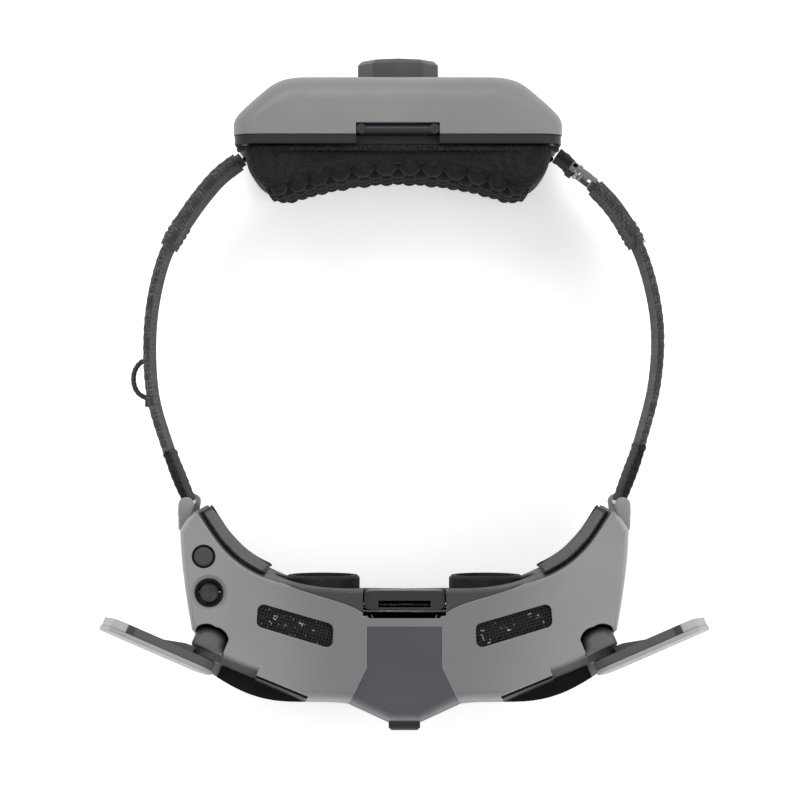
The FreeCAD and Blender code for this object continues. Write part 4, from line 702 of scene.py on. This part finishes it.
def eased(points, low, high, rim=0.5, grow=0.9):
    """A plate with the given outline, drawn in at its bottom and top."""
    middle = np.mean(points, axis=0)
    rows = []
    for z, scale in ((low, grow), (low + rim, 1.0), (high - rim, 1.0), (high, grow)):
        rows.append([(*(middle + (np.array(p) - middle) * scale), z) for p in points])
    return stack(rows)


def lugs():
    """The rounded ends of the arms, with an ear above and below each sleeve's eye."""
    column = [(-82.2, -46.7), (-86.6, -46.7), (-87.4, -48.6), (-87.3, -52.4), (-86.4, -53.1), (-82.0, -53.1)]
    ear = []
    for n in range(11):
        angle = math.pi * n / 10
        ear.append((-84.4 - 3.0 * math.cos(angle), -43.0 + 3.0 * math.sin(angle)))
    ear += [(-81.9, -46.0), (-82.2, -50.6), (-87.0, -50.6), (-87.5, -46.4)]
    verts, faces = collect([eased(column, 15.2, 54.8), eased(ear, 15.0, 17.3), eased(ear, 52.7, 55.2)])
    for name, side in SIDES.items():
        item = round_edges(piece(f"lug_{name}", on_side(verts, side), faces, LIGHT), 0.35)
        mount(item, "light_shell", *(["strap_lugs"] if name == "right" else []))


def cord_loop():
    """The braided loop outside the right band, and the patches that hold its two ends."""
    path = [(-99.6, 13.4, 36), (-103.4, 12.4, 36.6), (-105.9, 9.0, 36.8), (-106.4, 4.4, 36.2),
            (-104.6, 0.2, 35.6), (-100.0, -2.4, 36)]
    rides_band(piece("cord", *tube(path, 0.95, 16, twist=3.2, lobes=4, depth=0.14), CORD), "cord_loop")
    patches = [box_part((-101.8, 10.6, 31.5), (-100.2, 15.6, 40.5)),
               box_part((-101.6, -5.2, 31.5), (-99.8, -0.4, 40.5))]
    rides_band(round_edges(piece("cord_patches", *collect(patches), CORD), 0.4))


def slab(s0, s1, t0, t1, z0, z1):
    """A block in the clip's own axes: along the left band, across it, and upwards."""
    start, way, across = Vector((65.4, 89.2)), Vector((0.80, -0.60)), Vector((0.60, 0.80))
    corners = [start + way * s + across * t for s, t in ((s0, t0), (s1, t0), (s1, t1), (s0, t1))]
    return stack([[(p.x, p.y, z) for p in corners] for z in (z0, z1)])


def clip():
    """The webbing tab out of the pack and the metal-edged hook that the band loops on."""
    path = [(59.9, 93.8), (63.4, 91.2), (66.6, 87.4)]
    tab = ribbon("clip_webbing", path, 3.4, 21.0, 49.0, TAB, step=0.7, weave=0.12, cell=1.5)
    mount(tab, "strap_fabric", "clip_tab", body="pack")
    parts = []
    for z0, z1 in ((18.6, 21.4), (48.6, 51.4)):
        parts.append(slab(0.0, 11.6, -1.0, 1.0, z0, z1))
        parts.append(slab(-0.4, 2.4, -2.4, 1.2, z0, z1))
    for s0, s1 in ((0.0, 2.0), (4.6, 6.0), (9.8, 11.6)):
        parts.append(slab(s0, s1, -1.0, 1.0, 21.2, 48.8))
    hook = round_edges(piece("clip_frame", *collect(parts), MID), 0.35)
    mount(hook, "steel", "clip_hook", body="pack")
    plates = [slab(2.6, 4.2, -1.6, 1.7, 20.0, 50.0), slab(5.0, 8.6, 0.9, 1.5, 22.0, 48.0)]
    latch = round_edges(piece("clip_latch", *collect(plates), LATCH), 0.3)
    mount(latch, "steel", body="pack")


# ---------------------------------------------------------------- soft pads
PAD_LINE = [(-77.4, -45.6), (-73.4, -51.8), (-69.7, -56.9), (-63.1, -63.4), (-57.0, -67.3), (-54.0, -68.8)]
PAD_LOW, PAD_HIGH = 16.4, 69.0
# the pack's middle, and the level of the waffle's middle
PACK_X = -2.5
WAFFLE_MIDDLE = 34.0


def arm_pad():
    """The right arm's pad: a crowned face, wavy from bottom to top, over a flat back."""
    at, places, way = even(PAD_LINE, 0.9)
    levels = np.linspace(PAD_LOW, PAD_HIGH, 47)
    rows = []
    for s, place, run in zip(at, places, way):
        swell = 1 - math.exp(-min(s, at[-1] - s) / 2.4)
        row = []
        for z in levels:
            rim = min(z - PAD_LOW, PAD_HIGH - z)
            crown = 0.4 + swell * (1.1 * (1 - math.exp(-rim / 2.6)) + 0.08 * math.sin(2 * math.pi * z / 7.0))
            row.append((place[0] - run[1] * crown, place[1] + run[0] * crown, z))
        row += [(place[0] - run[1] * 0.05, place[1] + run[0] * 0.05, z) for z in levels[::-1]]
        rows.append(row)
    return stack(rows)


def arm_piping():
    """The cord round the rim of the right arm's pad."""
    proud, corner = 0.6, 6.0
    _, places, way = even(PAD_LINE, 0.9)
    first, last = [(places[n][0] - way[n][1] * proud, places[n][1] + way[n][0] * proud) for n in (0, -1)]
    line = offset(PAD_LINE, proud)
    rises = np.linspace(PAD_LOW + corner, PAD_HIGH - corner, 5)
    loop = [(x, y, PAD_HIGH) for x, y in line]
    loop += [(*last, z) for z in rises[::-1]]
    loop += [(x, y, PAD_LOW) for x, y in line[::-1]]
    loop += [(*first, z) for z in rises]
    return tube(loop + loop[:1], 0.5)


def arm_pads():
    """The slim padded strip on each arm, with piping round its edge."""
    pad, piping = arm_pad(), arm_piping()
    for name, side in SIDES.items():
        item = piece(f"pad_{name}", on_side(pad[0], side), pad[1], PAD)
        mount(item, "pad_fabric", *(["face_pads"] if name == "right" else []))
        mount(piece(f"pad_piping_{name}", on_side(piping[0], side), piping[1], SLEEVE), "pad_fabric")


def cushion_outline(grow):
    """The cushion's plan, as a list of points round it. The front is one hollow arc."""
    half, rear, horn, hollow = 61.6 + grow, 95.2, 76.8 - grow, 87.0 - grow
    side = [(half, rear), (61.2 + grow, 92.0), (59.8 + grow, 86.0), (56.9 + grow * 0.8, 81.0 - 0.4 * grow),
            (53.2 + 0.5 * grow, 77.6 - grow), (50.0, horn)]
    side = [tuple(p) for p in even(side, 2.0)[1]]
    arc = [(x, horn + (hollow - horn) * (1 - (x / 50.0) ** 2)) for x in np.linspace(48.0, -48.0, 49)]
    return side + arc + [(-x, y) for x, y in reversed(side)]


def cushion():
    """The pad for the back of the head: swollen cloth, with a waffle of soft cells on its hollow side."""
    low, high, levels, flat_from = 3.4, 64.6, 20, 94.9
    centre = Vector((0, 90.0))
    rows = []
    for n in range(levels + 1):
        z = low + (high - low) * n / levels
        pull = 2.6 * math.exp(-min(z - low, high - z) / 2.2)
        row = []
        for x, y in cushion_outline(-1.2):
            away = Vector((x, y)) - centre
            keep = 1 - pull / max(away.length, 1)
            row.append((PACK_X + x * keep, y if y > flat_from else centre.y + away.y * keep, z))
        rows.append(row)
    item = piece("cushion", *stack(rows), CUSHION)
    inflate(item, voxel=3.0, cap=2.2, pressure=4.0)
    refine(item)
    refine(item)
    waffle(item)
    hollow_out(item)
    mount(item, "cushion_fabric", "pack_cushion", body="pack")


def hollow_out(item):
    """Cuts the room for the rigid carrier's core and the slots the webbing goes in by."""
    rooms = [box_part((PACK_X - 57.3, 88.3, 7.7), (PACK_X + 57.3, 110.0, 60.3)),
             box_part((PACK_X - 70.0, 89.8, 18.0), (PACK_X - 50.0, 110.0, 52.0)),
             box_part((PACK_X + 50.0, 89.8, 18.0), (PACK_X + 70.0, 110.0, 52.0))]
    for n, room in enumerate(rooms):
        tool = piece(f"cushion_room_{n}", *room, CUSHION, smooth=False)
        hole = item.modifiers.new("room", "BOOLEAN")
        hole.operation = "DIFFERENCE"
        hole.solver = "EXACT"
        hole.object = tool
        bake(item)
        bpy.data.objects.remove(tool)


def waffle(item):
    """Raises soft cells on the hollow side and presses a seam line round them; keeps the rear flat."""
    pitch, line_pitch, rear = 9.0, 0.87, 95.3
    co = coords(item) / MM
    normals = np.zeros(len(co) * 3)
    item.data.vertices.foreach_get("normal", normals)
    moved = co.copy()
    for n, (p, normal) in enumerate(zip(co, normals.reshape(-1, 3))):
        x, y, z = p[0] - PACK_X, p[1], p[2] - WAFFLE_MIDDLE
        if y > rear:
            moved[n, 1] = rear
            continue
        front = max(0.0, -normal[1])
        if front < 0.35 or abs(x) > 54:
            continue
        run = x * (1 + 0.09 * (x / 50) ** 2)
        row = z / (pitch * line_pitch)
        line = round(row)
        shift = 0.5 * pitch if line % 2 else 0.0
        du = (run - shift) / pitch
        du -= round(du)
        dz = (row - line) * line_pitch
        cell = max(0.0, 1 - (math.hypot(du, dz) / 0.5) ** 2)
        inside = min(1.0, max(0.0, (52.0 - abs(x)) / 3)) * min(1.0, max(0.0, (29.0 - abs(z)) / 3))
        push = 2.5 * cell ** 0.7 * inside - 0.8 * (1 - cell) * inside
        if abs(x) < 52:
            push -= 0.8 * math.exp(-((abs(z) - 30.2) / 0.8) ** 2)
        moved[n] += normal * push * min(1.0, (front - 0.35) / 0.25)
    set_coords(item, moved * MM)


def cushion_seam():
    """Piping where the cushion's cover meets the rigid rim, above and below the webbing's slots."""
    below = [(-60.6, 16.4), (-60.4, 12), (-57, 5.2), (-30, 4.0), (0, 3.6), (30, 4.0), (57, 5.2), (60.4, 12),
             (60.6, 16.4)]
    above = [(-60.6, 53.6), (-60.4, 56), (-57, 62.8), (-30, 64.0), (0, 64.4), (30, 64.0), (57, 62.8),
             (60.4, 56), (60.6, 53.6)]
    runs = []
    for points in (below, above):
        path = [(PACK_X + x * 1.012, 94.2, z) for x, z in points]
        runs.append(tube(path, 0.9, 10, twist=2.0, lobes=3, depth=0.1))
    mount(piece("cushion_piping", *collect(runs), SLEEVE), "cushion_fabric", body="pack")


# ---------------------------------------------------------------- vents
VENT = [(-55.6, -79.3), (-27.0, -87.6), (-27.2, -97.0), (-56.2, -88.2)]
WIRE_LEVEL, SHEET_LEVEL, SHEET_BASE = 73.2, 71.6, 70.2


def inside_polygon(x, y, corners):
    hit = False
    for (x0, y0), (x1, y1) in zip(corners, corners[1:] + corners[:1]):
        if (y0 > y) != (y1 > y) and x < (x1 - x0) * (y - y0) / (y1 - y0) + x0:
            hit = not hit
    return hit


def wires():
    """Woven wire for the right-hand opening: two families that pass over and under each other."""
    pitch, radius, wave = 1.25, 0.24, 0.26
    way = np.array([28.6, -8.3]) / math.hypot(28.6, 8.3)
    across = np.array([-way[1], way[0]])
    centre = np.array([-41.5, -88.0])
    long, short = 18.0, 8.0
    parts = []
    families = ((way, across, long, short), (across, way, short, long))
    for family, (run, off, reach, spread) in enumerate(families):
        lines = int(spread / pitch)
        for n in range(-lines, lines + 1):
            points = []
            for step in np.arange(-reach, reach, pitch / 4):
                x, y = centre + off * n * pitch + run * step
                if inside_polygon(x, y, VENT):
                    rise = wave * math.cos(math.pi * (step / pitch + n + family))
                    points.append((x, y, WIRE_LEVEL + rise))
            if len(points) > 3:
                parts.append(tube(points, radius, 6))
    return collect(parts)


def sheet(side):
    """A crumpled filter sheet a little larger than the opening, as a closed body."""
    rng = random.Random(SEED + side)
    wide, deep = 40, 16
    a, b, c, d = (np.array(p) for p in VENT)
    middle = (a + b + c + d) / 4
    upper, lower = [], []
    for i in range(wide + 1):
        for j in range(deep + 1):
            u, v = i / wide, j / deep
            x, y = middle + ((a * (1 - u) + b * u) * (1 - v) + (d * (1 - u) + c * u) * v - middle) * 1.08
            crumple = 0.35 * math.sin(x * 1.9) * math.cos(y * 2.3) + rng.uniform(-0.25, 0.25)
            upper.append((x, y, SHEET_LEVEL + crumple))
            lower.append((x, y, SHEET_BASE))
    row, base = deep + 1, len(upper)
    faces = []
    for i in range(wide):
        for j in range(deep):
            k = i * row + j
            m = base + k
            faces += [(k, k + row, k + row + 1, k + 1), (m, m + 1, m + row + 1, m + row)]
    rim = [i * row for i in range(wide + 1)] + [wide * row + j for j in range(1, row)]
    rim += [i * row + deep for i in range(wide - 1, -1, -1)] + list(range(deep - 1, 0, -1))
    for p, q in zip(rim, rim[1:] + rim[:1]):
        faces.append((p, q, q + base, p + base))
    return upper + lower, faces


def vents():
    """Behind each air opening, woven wire over a dark filter sheet."""
    verts, faces = wires()
    for name, side in SIDES.items():
        item = piece(f"vent_wire_{name}", on_side(verts, side), faces, WIRE)
        mount(item, "vent_mesh", *(["vent_meshes"] if name == "right" else []))
        places, sides = sheet(side)
        mount(piece(f"vent_filter_{name}", on_side(places, side), sides, FILTER), "black_liner")


# ---------------------------------------------------------------- small hard details
def screw(x, y, z, radius=1.15):
    """A countersunk screw with a six-lobed recess, seen from above."""
    head = [(1.0, -1.2), (1.0, -0.12), (0.9, 0.0), (0.62, 0.0)]
    recess = [(0.46, -0.02), (0.46, -0.55)]
    rows = []
    for profile, lobe in ((head, 0.0), (recess, 0.10)):
        for scale, drop in profile:
            row = []
            for k in range(36):
                angle = 2 * math.pi * k / 36
                r = radius * (scale + lobe * math.cos(6 * angle))
                row.append((x + r * math.cos(angle), y + r * math.sin(angle), z + drop))
            rows.append(row)
    return stack(rows)


def hinge_caps():
    """The domed knuckle that fills each hinge's notch behind the antenna, up to the shell's top."""
    half, middle = 6.25, Vector((0.0, -9.0))
    outline = [(half, -5.7)]
    for n in range(25):
        angle = math.pi * n / 24
        outline.append((half * math.cos(angle), -10.0 - 4.1 * math.sin(angle)))
    outline.append((-half, -5.7))
    levels = [(1.0, 0.98)]
    for n in range(10):
        angle = math.pi / 2 * n / 9
        levels.append((11.6 + 3.6 * math.sin(angle), 0.45 + 0.55 * math.cos(angle)))
    rows = []
    for z, scale in levels:
        plan = [middle + (Vector(p) - middle) * scale for p in outline]
        rows.append([hinge_point(p.x, p.y, z) for p in plan])
    verts, faces = stack(rows)
    for name, side in SIDES.items():
        mount(piece(f"hinge_cap_{name}", on_side(verts, side), faces, DARK), "mid_plastic")


def bar_screws():
    """The two screws beside the front strap bar."""
    sunk = 0.35
    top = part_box("rear_cover")[1].z / MM
    part = collect([screw(x, -76.6, top - sunk) for x in (-20.5, 20.5)])
    mount(piece("bar_screws", *part, STEEL), "steel")


headband()
sleeve("right", [(-92.4, -22.6), (-90.2, -28.6), (-87.4, -35.6), (-84.4, -42.4)])
sleeve("left", [(92.6, -19.8), (90.4, -26.4), (87.6, -34.0), (84.4, -42.4)])
lugs()
cord_loop()
clip()
arm_pads()
cushion()
cushion_seam()
vents()
hinge_caps()
bar_screws()


# ---------------------------------------------------------------- floor, light, camera
def floor_finish():
    s = Shader("paper")
    fibre = s.noise(900.0, 3.0)
    tone = s.mix_by(s.ramp(fibre, 0.3, 0.7), grey(0.93), grey(0.95))
    normal = s.add("Bump", {"Height": fibre, "Distance": 0.00001})
    return s.finish(Base_Color=tone, Roughness=0.8, Normal=normal, Emission_Color=grey(1.0),
                    Emission_Strength=0.28, Specular_IOR_Level=0.1)


FLOOR_HALF, FLOOR_LEVEL = 4000.0, -0.4
corners = [(x * FLOOR_HALF, y * FLOOR_HALF, FLOOR_LEVEL) for x, y in ((-1, -1), (1, -1), (1, 1), (-1, 1))]
piece("floor", corners, [(0, 1, 2, 3)], floor_finish(), smooth=False)

world = bpy.data.worlds.new("studio")
bpy.context.scene.world = world
world.use_nodes = True
background = world.node_tree.nodes["Background"]
background.inputs["Color"].default_value = grey(1.0)
background.inputs["Strength"].default_value = 0.86


def lamp(name, place, size, power):
    """A round soft light that shines on the middle of the object."""
    data = bpy.data.lights.new(name, "AREA")
    data.shape = "DISK"
    data.size = size
    data.energy = power
    item = bpy.data.objects.new(name, data)
    item.location = place
    item.rotation_euler = (-Vector(place)).to_track_quat("-Z", "Y").to_euler()
    bpy.context.scene.collection.objects.link(item)


lamp("rear_soft", (-0.5, 1.5, 1.9), 1.6, 26.0)
lamp("side_soft", (1.6, -0.4, 1.7), 1.4, 13.0)

camera = bpy.data.cameras.new("camera")
camera.lens = 124.6
camera.sensor_width = 36.0
camera.clip_end = 20.0
camera_object = bpy.data.objects.new("camera", camera)
camera_object.location = (-1.7 * MM, -2.45 * MM, 1125 * MM)
bpy.context.scene.collection.objects.link(camera_object)
bpy.context.scene.camera = camera_object
bpy.context.scene.view_settings.view_transform = "Standard"
